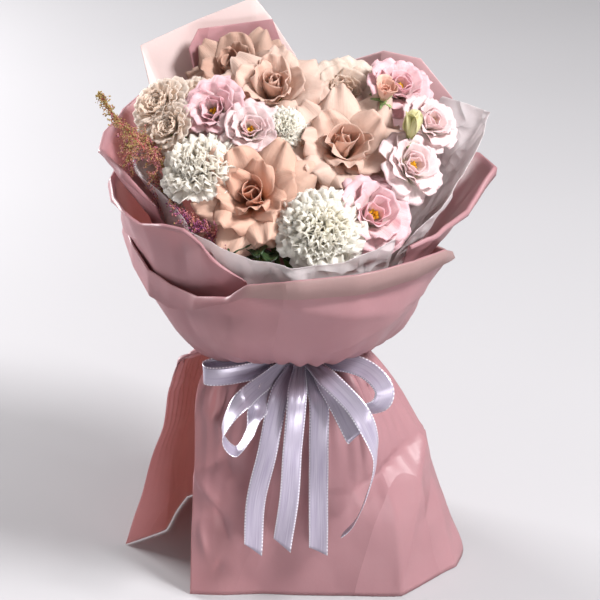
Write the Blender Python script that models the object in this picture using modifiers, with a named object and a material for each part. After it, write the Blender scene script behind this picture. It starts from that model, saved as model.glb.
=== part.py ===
"""Mixed flower bouquet in its film wrapper, standing on its cut stems.

Metres, +Z up. The origin is on the surface the bouquet stands on, under the binding point.
+X is the bouquet's right, -Y its front. Angles round the bouquet are in degrees from the front,
positive towards the right. Every stem is its own cut stem, every flower head its own solid on it,
and every sheet of film, every sheet of tissue and every length of ribbon is its own solid.
"""

import math
from dataclasses import dataclass

import bmesh
import bpy
from mathutils import Matrix, Vector

# Driving dimensions.
SEAT = 0.0003  # clearance left where two pieces touch
HEM = 0.0008  # height of the skirt's hem over the surface, so that the cut stems carry the bouquet
BIND_HEIGHT = 0.243  # middle of the twine binding
STEM_DIAMETER = 0.0068
STEM_PITCH = 0.0074  # spacing of the stems where they are bound
SPIRAL_TURN = 38.0  # degrees that the stems turn between binding and feet
FOOT_SPREAD = 3.6  # how many times wider the ring of feet is than the binding
TWINE_DIAMETER = 0.0024
FILM = 0.0010  # film and tissue as solids
RIBBON_WIDTH = 0.019
RIBBON_THICKNESS = 0.0008

BOUND_AT = 3  # the point of each stem's line that lies in the binding

NECK = 0.005  # how far each gathered sheet runs along the stems above and below the binding
TWINE_RADIUS = 0.0198
LAYER = 0.0017  # spacing of the sheets where they are gathered round the twine
GATHER_TISSUE = TWINE_RADIUS + TWINE_DIAMETER / 2 + FILM / 2 + SEAT
GATHER_BACK = GATHER_TISSUE + LAYER
GATHER_REAR = GATHER_BACK + LAYER
GATHER_SIDE = GATHER_REAR + LAYER
GATHER_FRONT = GATHER_SIDE + LAYER
GATHER_SKIRT = GATHER_FRONT + LAYER
GATHER_REAR_SKIRT = GATHER_SKIRT + LAYER
BAND_RADIUS = GATHER_REAR_SKIRT + LAYER
BAND_WIDTH = 0.009  # the waist ribbon is bunched to about half its width

COLOURS = {
    "rose": (0.80, 0.55, 0.43),
    "cream": (0.85, 0.78, 0.66),
    "carnation": (0.90, 0.88, 0.82),
    "lisianthus": (0.86, 0.55, 0.64),
    "green": (0.15, 0.26, 0.09),
    "leaf": (0.05, 0.13, 0.04),
    "astilbe": (0.45, 0.22, 0.24),
    "twine": (0.45, 0.34, 0.20),
    "film": (0.55, 0.28, 0.30),
    "pale_film": (0.85, 0.62, 0.62),
    "tissue": (0.80, 0.77, 0.78),
    "ribbon": (0.66, 0.63, 0.74),
}


@dataclass(frozen=True)
class Bloom:
    """One flower head: its middle, its radius and depth, and the way its face points."""

    name: str
    colour: str
    middle: tuple
    radius: float
    depth: float
    turn: float
    tilt: float

    def facing(self) -> Vector:
        """Unit vector out of the flower's face; tilt 90 points straight up."""
        turn, tilt = math.radians(self.turn), math.radians(self.tilt)
        return Vector((math.cos(tilt) * math.sin(turn), -math.cos(tilt) * math.cos(turn), math.sin(tilt)))

    def base(self) -> Vector:
        """Where the head sits on its stem."""
        return Vector(self.middle) - self.facing() * self.depth / 2


BLOOMS = (
    Bloom("rose_front_left", "rose", (-0.042, -0.080, 0.435), 0.041, 0.046, -15, 38),
    Bloom("rose_right", "rose", (0.042, -0.032, 0.467), 0.044, 0.046, 12, 48),
    Bloom("rose_top_front", "rose", (-0.021, 0.024, 0.512), 0.033, 0.040, -5, 68),
    Bloom("rose_top_back", "rose", (-0.074, 0.062, 0.522), 0.030, 0.040, -25, 62),
    Bloom("garden_rose_top", "cream", (0.045, 0.054, 0.494), 0.030, 0.038, 8, 62),
    Bloom("spray_rose_outer", "cream", (-0.143, 0.024, 0.495), 0.021, 0.032, -60, 55),
    Bloom("spray_rose_lower", "cream", (-0.130, -0.018, 0.477), 0.017, 0.026, -60, 42),
    Bloom("spray_rose_inner", "cream", (-0.108, 0.034, 0.496), 0.014, 0.026, -40, 62),
    Bloom("lisianthus_left_outer", "lisianthus", (-0.085, -0.008, 0.493), 0.023, 0.028, -20, 40),
    Bloom("lisianthus_left_inner", "lisianthus", (-0.045, -0.032, 0.487), 0.019, 0.026, 5, 42),
    Bloom("carnation_small", "carnation", (-0.014, -0.010, 0.480), 0.014, 0.024, 0, 55),
    Bloom("carnation_left", "carnation", (-0.098, -0.048, 0.457), 0.025, 0.038, -25, 66),
    Bloom("carnation_front", "carnation", (0.024, -0.110, 0.413), 0.031, 0.038, 8, 42),
    Bloom("lisianthus_front_right", "lisianthus", (0.073, -0.082, 0.420), 0.026, 0.030, 28, 40),
    Bloom("lisianthus_right", "lisianthus", (0.109, -0.046, 0.453), 0.025, 0.028, 42, 36),
    Bloom("lisianthus_upper_right", "lisianthus", (0.129, 0.002, 0.483), 0.022, 0.028, 62, 48),
    Bloom("lisianthus_top_right", "lisianthus", (0.100, 0.052, 0.503), 0.026, 0.032, 40, 62),
    Bloom("lisianthus_side", "lisianthus", (0.078, 0.008, 0.502), 0.013, 0.024, 10, 60),
    Bloom("lisianthus_bud", "green", (0.101, -0.016, 0.487), 0.008, 0.022, 20, 80),
)

# Flowers that grow on another flower's stem, and how far up that stem they branch off.
BRANCHES = {
    "spray_rose_lower": ("spray_rose_outer", 0.66),
    "spray_rose_inner": ("spray_rose_outer", 0.60),
    "lisianthus_left_inner": ("lisianthus_left_outer", 0.62),
    "lisianthus_side": ("lisianthus_top_right", 0.70),
    "lisianthus_upper_right": ("lisianthus_top_right", 0.60),
    "lisianthus_bud": ("lisianthus_top_right", 0.66),
}

# The astilbe sprigs: the line of each feathery plume, the first from the top of the stem and each other
# one from the share of the stem's way up where it branches off.
SPRIGS = {
    "astilbe_upper": (
        (1.0, ((-0.124, -0.036, 0.444), (-0.140, -0.040, 0.460), (-0.160, -0.027, 0.478),
               (-0.176, -0.010, 0.489), (-0.1865, -0.004, 0.504), (-0.1925, -0.004, 0.508))),
        (0.90, ((-0.124, -0.022, 0.446), (-0.145, -0.010, 0.462), (-0.158, -0.012, 0.463),
                (-0.161, -0.020, 0.448), (-0.158, -0.030, 0.434))),
        (0.80, ((-0.112, -0.034, 0.412), (-0.126, -0.038, 0.426), (-0.138, -0.040, 0.440))),
    ),
    "astilbe_lower": (
        (1.0, ((-0.066, -0.082, 0.392), (-0.080, -0.088, 0.404), (-0.096, -0.080, 0.414),
               (-0.112, -0.064, 0.424))),
    ),
}
PLUME_WIDTH = 0.011

# Leaves: the bloom whose stem carries each one, how far up the stem, the tip and the half width.
LEAVES = (
    ("leaf_left", "rose_front_left", 0.66, (-0.062, -0.112, 0.386), 0.011),
    ("leaf_middle", "rose_front_left", 0.58, (-0.030, -0.122, 0.383), 0.012),
    ("leaf_right", "carnation_front", 0.60, (0.002, -0.124, 0.384), 0.010),
)


# Sheets of the wrapper. Each rail is one line of the sheet from where it is gathered to its edge.
def collar_rails(gather, stations):
    """Rails of a sheet that opens out from the binding.

    Each station is (angle, knee, belly, rim); the last three are (radius, height) pairs.
    """
    rails = []
    for angle, *points in stations:
        turn = math.radians(angle)
        neck_top = BIND_HEIGHT + NECK + GATHER_SKIRT - gather  # an outer sheet turns out under an inner one
        profile = ((gather, BIND_HEIGHT - NECK), (gather, neck_top), *points)
        rails.append([Vector((r * math.sin(turn), -r * math.cos(turn), z)) for r, z in profile])
    return rails


FRONT_SHEET = (
    (-92, (0.094, 0.248), (0.144, 0.308), (0.168, 0.376)),
    (-80, (0.095, 0.246), (0.143, 0.305), (0.162, 0.366)),
    (-68, (0.095, 0.248), (0.139, 0.302), (0.154, 0.351)),
    (-55, (0.094, 0.254), (0.134, 0.301), (0.146, 0.349)),
    (-40, (0.093, 0.260), (0.131, 0.303), (0.143, 0.350)),
    (-27, (0.092, 0.264), (0.130, 0.307), (0.143, 0.359)),
    (-18, (0.090, 0.266), (0.130, 0.313), (0.146, 0.378)),
    (0, (0.089, 0.267), (0.130, 0.319), (0.148, 0.389)),
    (20, (0.089, 0.267), (0.130, 0.321), (0.149, 0.390)),
    (43, (0.089, 0.267), (0.129, 0.323), (0.150, 0.387)),
    (60, (0.090, 0.267), (0.128, 0.326), (0.152, 0.383)),
    (76, (0.092, 0.267), (0.127, 0.326), (0.146, 0.362)),
    (92, (0.093, 0.267), (0.124, 0.318), (0.138, 0.344)),
    (115, (0.091, 0.266), (0.120, 0.305), (0.134, 0.330)),
)
LEFT_SHEET = (
    (-104, (0.084, 0.270), (0.128, 0.326), (0.181, 0.424)),
    (-92, (0.086, 0.270), (0.130, 0.326), (0.183, 0.421)),
    (-84, (0.086, 0.270), (0.130, 0.325), (0.177, 0.409)),
    (-76, (0.084, 0.271), (0.128, 0.324), (0.170, 0.406)),
    (-66, (0.083, 0.272), (0.125, 0.324), (0.160, 0.403)),
    (-54, (0.081, 0.273), (0.121, 0.324), (0.152, 0.414)),
    (-45, (0.080, 0.274), (0.119, 0.324), (0.146, 0.416)),
    (-33, (0.079, 0.275), (0.117, 0.322), (0.139, 0.392)),
    (-21, (0.078, 0.276), (0.115, 0.322), (0.136, 0.370)),
)
RIGHT_SHEET = (
    (44, (0.078, 0.277), (0.119, 0.334), (0.141, 0.394)),
    (57, (0.080, 0.278), (0.120, 0.338), (0.148, 0.398)),
    (73, (0.082, 0.280), (0.122, 0.344), (0.165, 0.409)),
    (90, (0.084, 0.281), (0.126, 0.350), (0.189, 0.436)),
    (104, (0.084, 0.281), (0.127, 0.350), (0.180, 0.432)),
    (122, (0.082, 0.280), (0.124, 0.345), (0.168, 0.420)),
    (140, (0.080, 0.279), (0.120, 0.345), (0.160, 0.415)),
)
LEFT_REAR_SHEET = (
    (-66, (0.074, 0.276), (0.116, 0.338), (0.147, 0.415)),
    (-78, (0.078, 0.276), (0.124, 0.342), (0.168, 0.440)),
    (-90, (0.082, 0.276), (0.132, 0.350), (0.191, 0.452)),
    (-100, (0.082, 0.276), (0.132, 0.350), (0.192, 0.458)),
    (-110, (0.080, 0.276), (0.128, 0.350), (0.184, 0.468)),
    (-121, (0.078, 0.276), (0.124, 0.350), (0.172, 0.482)),
    (-136, (0.078, 0.276), (0.124, 0.350), (0.170, 0.470)),
    (-152, (0.076, 0.276), (0.122, 0.350), (0.166, 0.450)),
)
BACK_PALE_SHEET = (
    (-119, (0.068, 0.286), (0.100, 0.360), (0.168, 0.484)),
    (-122, (0.068, 0.286), (0.102, 0.370), (0.184, 0.520)),
    (-139, (0.072, 0.286), (0.104, 0.380), (0.153, 0.541)),
    (-160, (0.074, 0.282), (0.106, 0.385), (0.132, 0.561)),
    (-167, (0.074, 0.282), (0.106, 0.385), (0.130, 0.540)),
    (-178, (0.072, 0.282), (0.106, 0.370), (0.128, 0.500)),
)
BACK_INNER_SHEET = (
    (-128, (0.060, 0.290), (0.094, 0.370), (0.138, 0.520)),
    (-134, (0.062, 0.290), (0.096, 0.380), (0.138, 0.537)),
    (-150, (0.064, 0.290), (0.096, 0.385), (0.120, 0.540)),
    (-166, (0.064, 0.290), (0.094, 0.385), (0.112, 0.543)),
    (-173, (0.064, 0.290), (0.094, 0.375), (0.112, 0.505)),
    (175, (0.064, 0.290), (0.094, 0.365), (0.110, 0.480)),
)
BACK_RIGHT_SHEET = (
    (109, (0.070, 0.286), (0.111, 0.358), (0.160, 0.452)),
    (116, (0.070, 0.286), (0.110, 0.362), (0.166, 0.474)),
    (128, (0.070, 0.284), (0.108, 0.372), (0.150, 0.508)),
    (142, (0.070, 0.284), (0.106, 0.375), (0.134, 0.512)),
    (160, (0.070, 0.284), (0.106, 0.372), (0.128, 0.495)),
    (174, (0.070, 0.284), (0.106, 0.368), (0.126, 0.485)),
)
TISSUE_LEFT = (
    (-100, (0.058, 0.292), (0.100, 0.362), (0.156, 0.446)),
    (-90, (0.060, 0.292), (0.102, 0.358), (0.158, 0.446)),
    (-78, (0.060, 0.290), (0.102, 0.352), (0.152, 0.437)),
    (-64, (0.062, 0.288), (0.102, 0.344), (0.140, 0.424)),
    (-50, (0.064, 0.286), (0.102, 0.340), (0.136, 0.412)),
)
TISSUE_FRONT = (
    (-46, (0.068, 0.284), (0.108, 0.336), (0.136, 0.402)),
    (-28, (0.070, 0.282), (0.110, 0.334), (0.134, 0.396)),
    (-18, (0.072, 0.281), (0.112, 0.332), (0.134, 0.387)),
    (0, (0.073, 0.280), (0.114, 0.331), (0.136, 0.388)),
    (16, (0.073, 0.280), (0.114, 0.331), (0.137, 0.388)),
    (30, (0.072, 0.281), (0.113, 0.333), (0.135, 0.391)),
    (41, (0.070, 0.282), (0.111, 0.335), (0.133, 0.397)),
)
TISSUE_RIGHT = (
    (48, (0.064, 0.288), (0.104, 0.346), (0.133, 0.408)),
    (62, (0.066, 0.288), (0.106, 0.352), (0.136, 0.424)),
    (78, (0.066, 0.290), (0.108, 0.360), (0.150, 0.442)),
    (92, (0.066, 0.290), (0.110, 0.366), (0.170, 0.464)),
    (100, (0.066, 0.292), (0.110, 0.372), (0.186, 0.475)),
    (105, (0.064, 0.292), (0.106, 0.372), (0.174, 0.474)),
)

# The skirt's sheets: the angle at which each rail is gathered, then its shoulder, middle and hem.
FRONT_SKIRT = (
    (-62, (-0.094, -0.040, 0.232), (-0.106, -0.066, 0.130), (-0.112, -0.089, HEM)),
    (-31, (-0.050, -0.060, 0.217), (-0.066, -0.080, 0.130), (-0.075, -0.091, HEM)),
    (0, (-0.004, -0.064, 0.215), (-0.012, -0.085, 0.130), (-0.018, -0.092, HEM)),
    (28, (0.034, -0.058, 0.217), (0.046, -0.083, 0.130), (0.046, -0.093, HEM)),
    (53, (0.058, -0.042, 0.230), (0.088, -0.072, 0.130), (0.104, -0.093, HEM)),
    (79, (0.068, -0.014, 0.234), (0.127, -0.026, 0.130), (0.162, -0.040, HEM)),
    (99, (0.068, 0.010, 0.234), (0.127, 0.010, 0.130), (0.171, -0.006, HEM)),
    (130, (0.054, 0.042, 0.228), (0.100, 0.062, 0.120), (0.132, 0.072, HEM)),
    (164, (0.020, 0.058, 0.224), (0.050, 0.090, 0.120), (0.070, 0.108, HEM)),
    (192, (-0.012, 0.060, 0.224), (-0.006, 0.094, 0.120), (0.000, 0.112, HEM)),
)
REAR_SKIRT = (
    (-90, (-0.116, -0.008, 0.226), (-0.144, -0.004, 0.130), (-0.187, 0.002, HEM)),
    (-106, (-0.100, 0.022, 0.226), (-0.126, 0.026, 0.130), (-0.148, 0.030, HEM)),
    (-130, (-0.078, 0.052, 0.228), (-0.106, 0.074, 0.130), (-0.128, 0.096, HEM)),
    (-158, (-0.036, 0.076, 0.229), (-0.056, 0.112, 0.130), (-0.066, 0.134, HEM)),
    (-186, (0.010, 0.080, 0.229), (0.010, 0.116, 0.130), (0.008, 0.138, HEM)),
    (-207, (0.038, 0.076, 0.229), (0.064, 0.110, 0.130), (0.076, 0.134, HEM)),
)


def skirt_rails(gather, lines):
    """Rails of a skirt sheet, each led up inside the waist ribbon."""
    rails = []
    neck_foot = BIND_HEIGHT - NECK - 0.0015 + 1.3 * (gather - GATHER_REAR_SKIRT)
    for angle, *points in lines:
        turn = math.radians(angle)
        x, y = gather * math.sin(turn), -gather * math.cos(turn)
        rails.append([Vector((x, y, BIND_HEIGHT + NECK)), Vector((x, y, neck_foot)),
                      *(Vector(point) for point in points)])
    return rails


# Ribbon lengths: their centre lines from the knot, then the ways their width points in turn along them.
KNOT_SIZE = (0.024, 0.009, 0.013)
KNOT = (0.0, -(BAND_RADIUS + RIBBON_THICKNESS / 2 + SEAT + KNOT_SIZE[1] / 2), BIND_HEIGHT - 0.001)
PINCH = 0.42  # share of its width that the ribbon has left where it comes out of the knot
RIBBONS = {
    "ribbon_tail_left": (
        ((-0.0075, -0.0441, 0.2398), (-0.021, -0.081, 0.222), (-0.031, -0.100, 0.177),
         (-0.043, -0.106, 0.123), (-0.047, -0.108, 0.068)), (0.97, -0.05, -0.24), (0.96, 0.0, -0.28)),
    "ribbon_tail_middle": (
        ((0.0000, -0.0441, 0.2430), (-0.003, -0.088, 0.227), (-0.007, -0.106, 0.179), (-0.011, -0.110, 0.125),
         (-0.018, -0.112, 0.074)), (0.99, 0.0, -0.1), (0.94, 0.0, -0.34)),
    "ribbon_tail_right": (
        ((0.0080, -0.0441, 0.2390), (0.018, -0.082, 0.222), (0.018, -0.101, 0.177), (0.018, -0.106, 0.124),
         (0.018, -0.109, 0.066)), (1.0, 0.0, 0.0), (1.0, 0.05, 0.0)),
    "ribbon_tail_long": (
        ((0.0070, -0.0456, 0.2462), (0.040, -0.098, 0.244), (0.070, -0.113, 0.213), (0.075, -0.119, 0.183),
         (0.068, -0.121, 0.145), (0.055, -0.120, 0.112), (0.041, -0.118, 0.094)),
        (1.0, 0.1, 0.0), (0.2, 0.97, 0.1)),
    "ribbon_loop_left_high": (
        ((-0.0128, -0.0378, 0.2430), (-0.045, -0.071, 0.2435), (-0.074, -0.096, 0.2430),
         (-0.087, -0.100, 0.2430), (-0.086, -0.091, 0.2430), (-0.060, -0.068, 0.2440),
         (-0.0128, -0.0362, 0.2430)),
        (0.0, 0.1, 1.0), (0.0, 0.1, 1.0)),
    "ribbon_loop_left_low": (
        ((-0.0132, -0.0428, 0.2430), (-0.030, -0.066, 0.2370), (-0.056, -0.104, 0.2330),
         (-0.071, -0.122, 0.206), (-0.061, -0.124, 0.187), (-0.049, -0.117, 0.200), (-0.041, -0.092, 0.220),
         (-0.029, -0.061, 0.2350), (-0.0132, -0.0408, 0.2430)),
        (0.0, 0.1, 1.0), (0.0, 1.0, 0.0), (0.0, 0.1, 1.0)),
    "ribbon_loop_right_low": (
        ((0.0132, -0.0428, 0.2430), (0.030, -0.068, 0.2340), (0.045, -0.104, 0.2260), (0.053, -0.125, 0.206),
         (0.055, -0.126, 0.199), (0.049, -0.113, 0.206), (0.042, -0.088, 0.220), (0.030, -0.062, 0.2340),
         (0.0132, -0.0408, 0.2430)),
        (0.0, 0.1, 1.0), (0.0, 1.0, 0.0), (0.0, 0.1, 1.0)),
    "ribbon_loop_right_high": (
        ((0.0128, -0.0378, 0.2430), (0.048, -0.066, 0.2440), (0.082, -0.088, 0.2380), (0.096, -0.092, 0.224),
         (0.092, -0.088, 0.214), (0.080, -0.078, 0.222), (0.056, -0.062, 0.239), (0.0128, -0.0362, 0.2430)),
        (0.0, 0.1, 1.0), (0.0, 0.1, 1.0)),
}


def smooth_run(points, steps):
    """A Catmull-Rom run through points, with `steps` pieces between each two of them."""
    points = [Vector(p) for p in points]
    points = [2 * points[0] - points[1], *points, 2 * points[-1] - points[-2]]
    run = []
    for a, b, c, d in zip(points, points[1:], points[2:], points[3:]):
        for k in range(steps):
            t = k / steps
            run.append(0.5 * (2 * b + (c - a) * t + (2 * a - 5 * b + 4 * c - d) * t**2
                              + (3 * b - 3 * c + d - a) * t**3))
    return [*run, points[-2]]


def dressed(name, mesh, colour, roughness=0.6):
    """Links a mesh into the bouquet as a named piece with its own material."""
    piece = bpy.data.objects.new(name, mesh)
    bouquet.objects.link(piece)
    material = bpy.data.materials.new(name)
    material.use_nodes = True
    shader = material.node_tree.nodes["Principled BSDF"]
    shader.inputs["Base Color"].default_value = (*COLOURS[colour], 1.0)
    shader.inputs["Roughness"].default_value = roughness
    mesh.materials.clear()
    mesh.materials.append(material)
    mesh.shade_smooth()
    return piece


def sheet(name, rails, colour, across=2, along=2, thickness=FILM, gathered=False):
    """A thin sheet through its rails; a gathered one stays straight up to its second point."""
    straight = 1 if gathered else 0
    rows = [[*rail[:straight], *smooth_run(rail[straight:], along)] for rail in rails]
    lines = [smooth_run(line, across) for line in zip(*rows)]
    mesh = bpy.data.meshes.new(name)
    width = len(lines[0])
    corners = [(i * width + j, i * width + j + 1, (i + 1) * width + j + 1, (i + 1) * width + j)
               for i in range(len(lines) - 1) for j in range(width - 1)]
    mesh.from_pydata([point for line in lines for point in line], [], corners)
    piece = dressed(name, mesh, colour, 0.45)
    wall = piece.modifiers.new("wall", "SOLIDIFY")
    wall.thickness = thickness
    wall.offset = 0.0
    wall.use_even_offset = True
    return piece


def ribbon(name, centre_line, *width_ways):
    """A flat ribbon along a line, pinched at the knot, its width turning from each way to the next."""
    run = smooth_run(centre_line, 3)
    ways = [Vector(way).normalized() for way in width_ways]
    rows = []
    for i, point in enumerate(run):
        along = run[min(i + 1, len(run) - 1)] - run[max(i - 1, 0)]
        turned = i / (len(run) - 1) * (len(ways) - 1)
        first = min(int(turned), len(ways) - 2)
        aside = ways[first].lerp(ways[first + 1], turned - first)
        aside = (aside - along.normalized() * aside.dot(along.normalized())).normalized()
        steps_to_knot = min(i, len(run) - 1 - i) if "loop" in name else i
        half = RIBBON_WIDTH / 2 * (PINCH + (1 - PINCH) * min(steps_to_knot / 4, 1.0))
        rows.append([point - aside * half, point + aside * half])
    return sheet(name, rows, "ribbon", across=1, along=1, thickness=RIBBON_THICKNESS)


def knot():
    """The knot of the bow: a soft block in front of the waist ribbon."""
    bpy.ops.mesh.primitive_cube_add(size=1.0)
    maker = bpy.context.object
    mesh = maker.data
    bpy.data.objects.remove(maker)
    mesh.transform(Matrix.Diagonal((*KNOT_SIZE, 1.0)))
    piece = dressed("ribbon_knot", mesh, "ribbon")
    piece.location = KNOT
    rounding = piece.modifiers.new("rounding", "BEVEL")
    rounding.width = 0.003
    rounding.segments = 2


def head(bloom):
    """A flower head as a turned cup with a domed face."""
    radius, depth = bloom.radius, bloom.depth
    outline = ((0.0, 1.0), (0.42, 0.97), (0.82, 0.82), (1.0, 0.58),
               (0.86, 0.34), (0.5, 0.12), (0.14, 0.0), (0.0, 0.0))
    mesh = bpy.data.meshes.new(bloom.name)
    points = [Vector((x * radius, 0.0, z * depth)) for x, z in outline]
    mesh.from_pydata(points, [(i, i + 1) for i in range(len(points) - 1)], [])
    piece = dressed(bloom.name, mesh, bloom.colour)
    turned = piece.modifiers.new("turned", "SCREW")
    turned.steps = turned.render_steps = 14
    turned.use_merge_vertices = True
    turned.merge_threshold = 0.0001
    piece.location = bloom.base()
    piece.rotation_mode = "QUATERNION"
    piece.rotation_quaternion = bloom.facing().to_track_quat("Z", "Y")
    return piece


def tube(name, run, radii):
    """A round solid along a run of points, cut flat where it would pass below the surface."""
    curve = bpy.data.curves.new(name, "CURVE")
    curve.dimensions = "3D"
    curve.bevel_depth = 1.0
    curve.bevel_resolution = 1
    curve.use_fill_caps = True
    spline = curve.splines.new("POLY")
    spline.points.add(len(run) - 1)
    for point, place, radius in zip(spline.points, run, radii):
        point.co = (*place, 1.0)
        point.radius = radius
    maker = bpy.data.objects.new(name, curve)
    bouquet.objects.link(maker)
    seen = maker.evaluated_get(bpy.context.evaluated_depsgraph_get())
    mesh = bpy.data.meshes.new_from_object(seen)
    bpy.data.objects.remove(maker)
    work = bmesh.new()
    work.from_mesh(mesh)
    bmesh.ops.remove_doubles(work, verts=work.verts, dist=0.00005)
    if min(place.z for place in run) < 0.0:
        cut = bmesh.ops.bisect_plane(work, geom=[*work.verts, *work.edges, *work.faces],
                                     plane_co=(0, 0, 0), plane_no=(0, 0, -1), clear_outer=True)
        rim = [g for g in cut["geom_cut"] if isinstance(g, bmesh.types.BMEdge)]
        bmesh.ops.contextual_create(work, geom=rim)
    bmesh.ops.recalc_face_normals(work, faces=work.faces)
    work.to_mesh(mesh)
    work.free()
    mesh.name = name
    return mesh


def binding_slots(count):
    """Places of the stems in the binding: one in the middle and rings of six, twelve and so on."""
    slots = [Vector((0.0, 0.0, 0.0))]
    ring = 1
    while len(slots) < count:
        share = min(6 * ring, count - len(slots))
        for k in range(share):
            turn = 2 * math.pi * (k + 0.25 * ring) / share
            slots.append(Vector((math.cos(turn), math.sin(turn), 0.0)) * ring * STEM_PITCH)
        ring += 1
    return slots


def sorted_into(slots, tops):
    """Gives each stem top its slot, swapping pairs until no swap shortens the way to the tops."""
    order = list(range(len(tops)))
    spread = 5.0

    def way(slot, top):
        return (Vector((top.x, top.y, 0.0)) - slots[slot] * spread).length_squared

    better = True
    while better:
        better = False
        for i in range(len(order)):
            for j in range(i + 1, len(order)):
                now = way(order[i], tops[i]) + way(order[j], tops[j])
                swapped = way(order[j], tops[i]) + way(order[i], tops[j])
                if swapped < now - 1e-9:
                    order[i], order[j] = order[j], order[i]
                    better = True
    return [slots[k] for k in order]


def bezier(start, first, second, end, steps):
    """Points along a cubic curve from start to end with its two handles."""
    points = []
    for k in range(steps + 1):
        t = k / steps
        u = 1 - t
        points.append(start * u**3 + first * 3 * t * u**2 + second * 3 * t**2 * u + end * t**3)
    return points


def stem_run(slot, top, arriving):
    """A stem's line: spiralled foot, binding, then a curve that arrives along the head's axis."""
    turn = math.radians(SPIRAL_TURN)
    foot = Vector((slot.x * math.cos(turn) - slot.y * math.sin(turn),
                   slot.x * math.sin(turn) + slot.y * math.cos(turn), 0.0)) * FOOT_SPREAD
    bind = slot + Vector((0.0, 0.0, BIND_HEIGHT))
    below = foot + (foot - bind) * 0.02
    lower = [below.lerp(bind, k / BOUND_AT) for k in range(BOUND_AT)]
    reach = (top - bind).length
    leaving = Vector((bind.x - foot.x * 0.5, bind.y - foot.y * 0.5, BIND_HEIGHT)).normalized()
    upper = bezier(bind, bind + leaving * reach * 0.3, top - arriving * reach * 0.22, top, 8)
    return [*lower, *upper[:-1], top - arriving * 0.004, top]


def leaf(name, root, tip, half_width):
    """A folded leaf blade from its root on a stem to its tip."""
    along = tip - root
    side = along.cross(Vector((0.0, 0.0, 1.0))).normalized()
    rise = side.cross(along).normalized()
    rails = []
    for share in (-1.0, 0.0, 1.0):
        rail = []
        for k in range(6):
            t = k / 5
            wide = half_width * (0.10 + 0.95 * math.sin(math.pi * min(t * 0.97 + 0.03, 1.0))**0.8)
            arch = rise * (0.10 * along.length * math.sin(math.pi * t) + 0.35 * abs(share) * wide)
            rail.append(root + along * t + side * share * wide + arch)
        rails.append(rail)
    return sheet(name, rails, "leaf", across=1, along=1)


def branch_run(carrier, share, top, arriving):
    """A side branch's line: it leaves the carrying stem along it and curves to its own top."""
    at = round(share * (len(carrier) - 1))
    start, heading = carrier[at], (carrier[at] - carrier[at - 1]).normalized()
    reach = (top - start).length
    line = bezier(start, start + heading * reach * 0.35, top - arriving * reach * 0.35, top, 6)
    return [*line[:-1], top - arriving * 0.003, top]


def joined(piece, name, mesh):
    """Unites a mesh with a piece through a Boolean, keeping it as a hidden shape."""
    shape = bpy.data.objects.new(name, mesh)
    joining_shapes.objects.link(shape)
    shape.hide_render = True
    shape.display_type = "WIRE"
    union = piece.modifiers.new(name, "BOOLEAN")
    union.operation = "UNION"
    union.object = shape


def feather_widths(count):
    """Radii along a plume: slim at its stem, widest in the middle, fine at its tip."""
    slim = STEM_DIAMETER * 0.3
    swell = PLUME_WIDTH / 2 - slim
    return [slim + swell * max(math.sin(math.pi * k / (count - 1)), 0.0)**0.7 for k in range(count)]


def grow_flowers(stems):
    """Makes each head, and each stem with the side branches that grow on it."""
    radius = STEM_DIAMETER / 2
    for bloom in BLOOMS:
        head(bloom)
        if bloom.name in BRANCHES:
            continue
        run = stems[bloom.name]
        stem = dressed("stem_" + bloom.name, tube("stem_" + bloom.name, run, [radius] * len(run)), "green")
        for side in BLOOMS:
            carrier, share = BRANCHES.get(side.name, (None, 0.0))
            if carrier == bloom.name:
                line = branch_run(run, share, side.base() - side.facing() * SEAT, side.facing())
                name = "branch_" + side.name
                joined(stem, name, tube(name, line, [radius * 0.6] * len(line)))


def grow_sprigs(stems):
    """Makes each astilbe sprig: its stem with every plume on it."""
    radius = STEM_DIAMETER * 0.3
    for name, ((_, first), *others) in SPRIGS.items():
        run, plume = stems[name], smooth_run(first, 3)
        thinned = [max(k - BOUND_AT, 0) / (len(run) - 1 - BOUND_AT) for k in range(len(run) - 1)]
        widths = [STEM_DIAMETER / 2 + (radius - STEM_DIAMETER / 2) * share for share in thinned]
        widths += feather_widths(len(plume))
        sprig = dressed(name, tube(name, [*run[:-1], *plume], widths), "astilbe")
        for k, (share, axis) in enumerate(others):
            plume = smooth_run(axis, 3)
            line = branch_run(run, share, plume[0], (plume[1] - plume[0]).normalized())
            widths = [radius * 0.9] * (len(line) - 1) + feather_widths(len(plume))
            joined(sprig, f"{name}_{k}", tube(f"{name}_{k}", [*line[:-1], *plume], widths))


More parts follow.
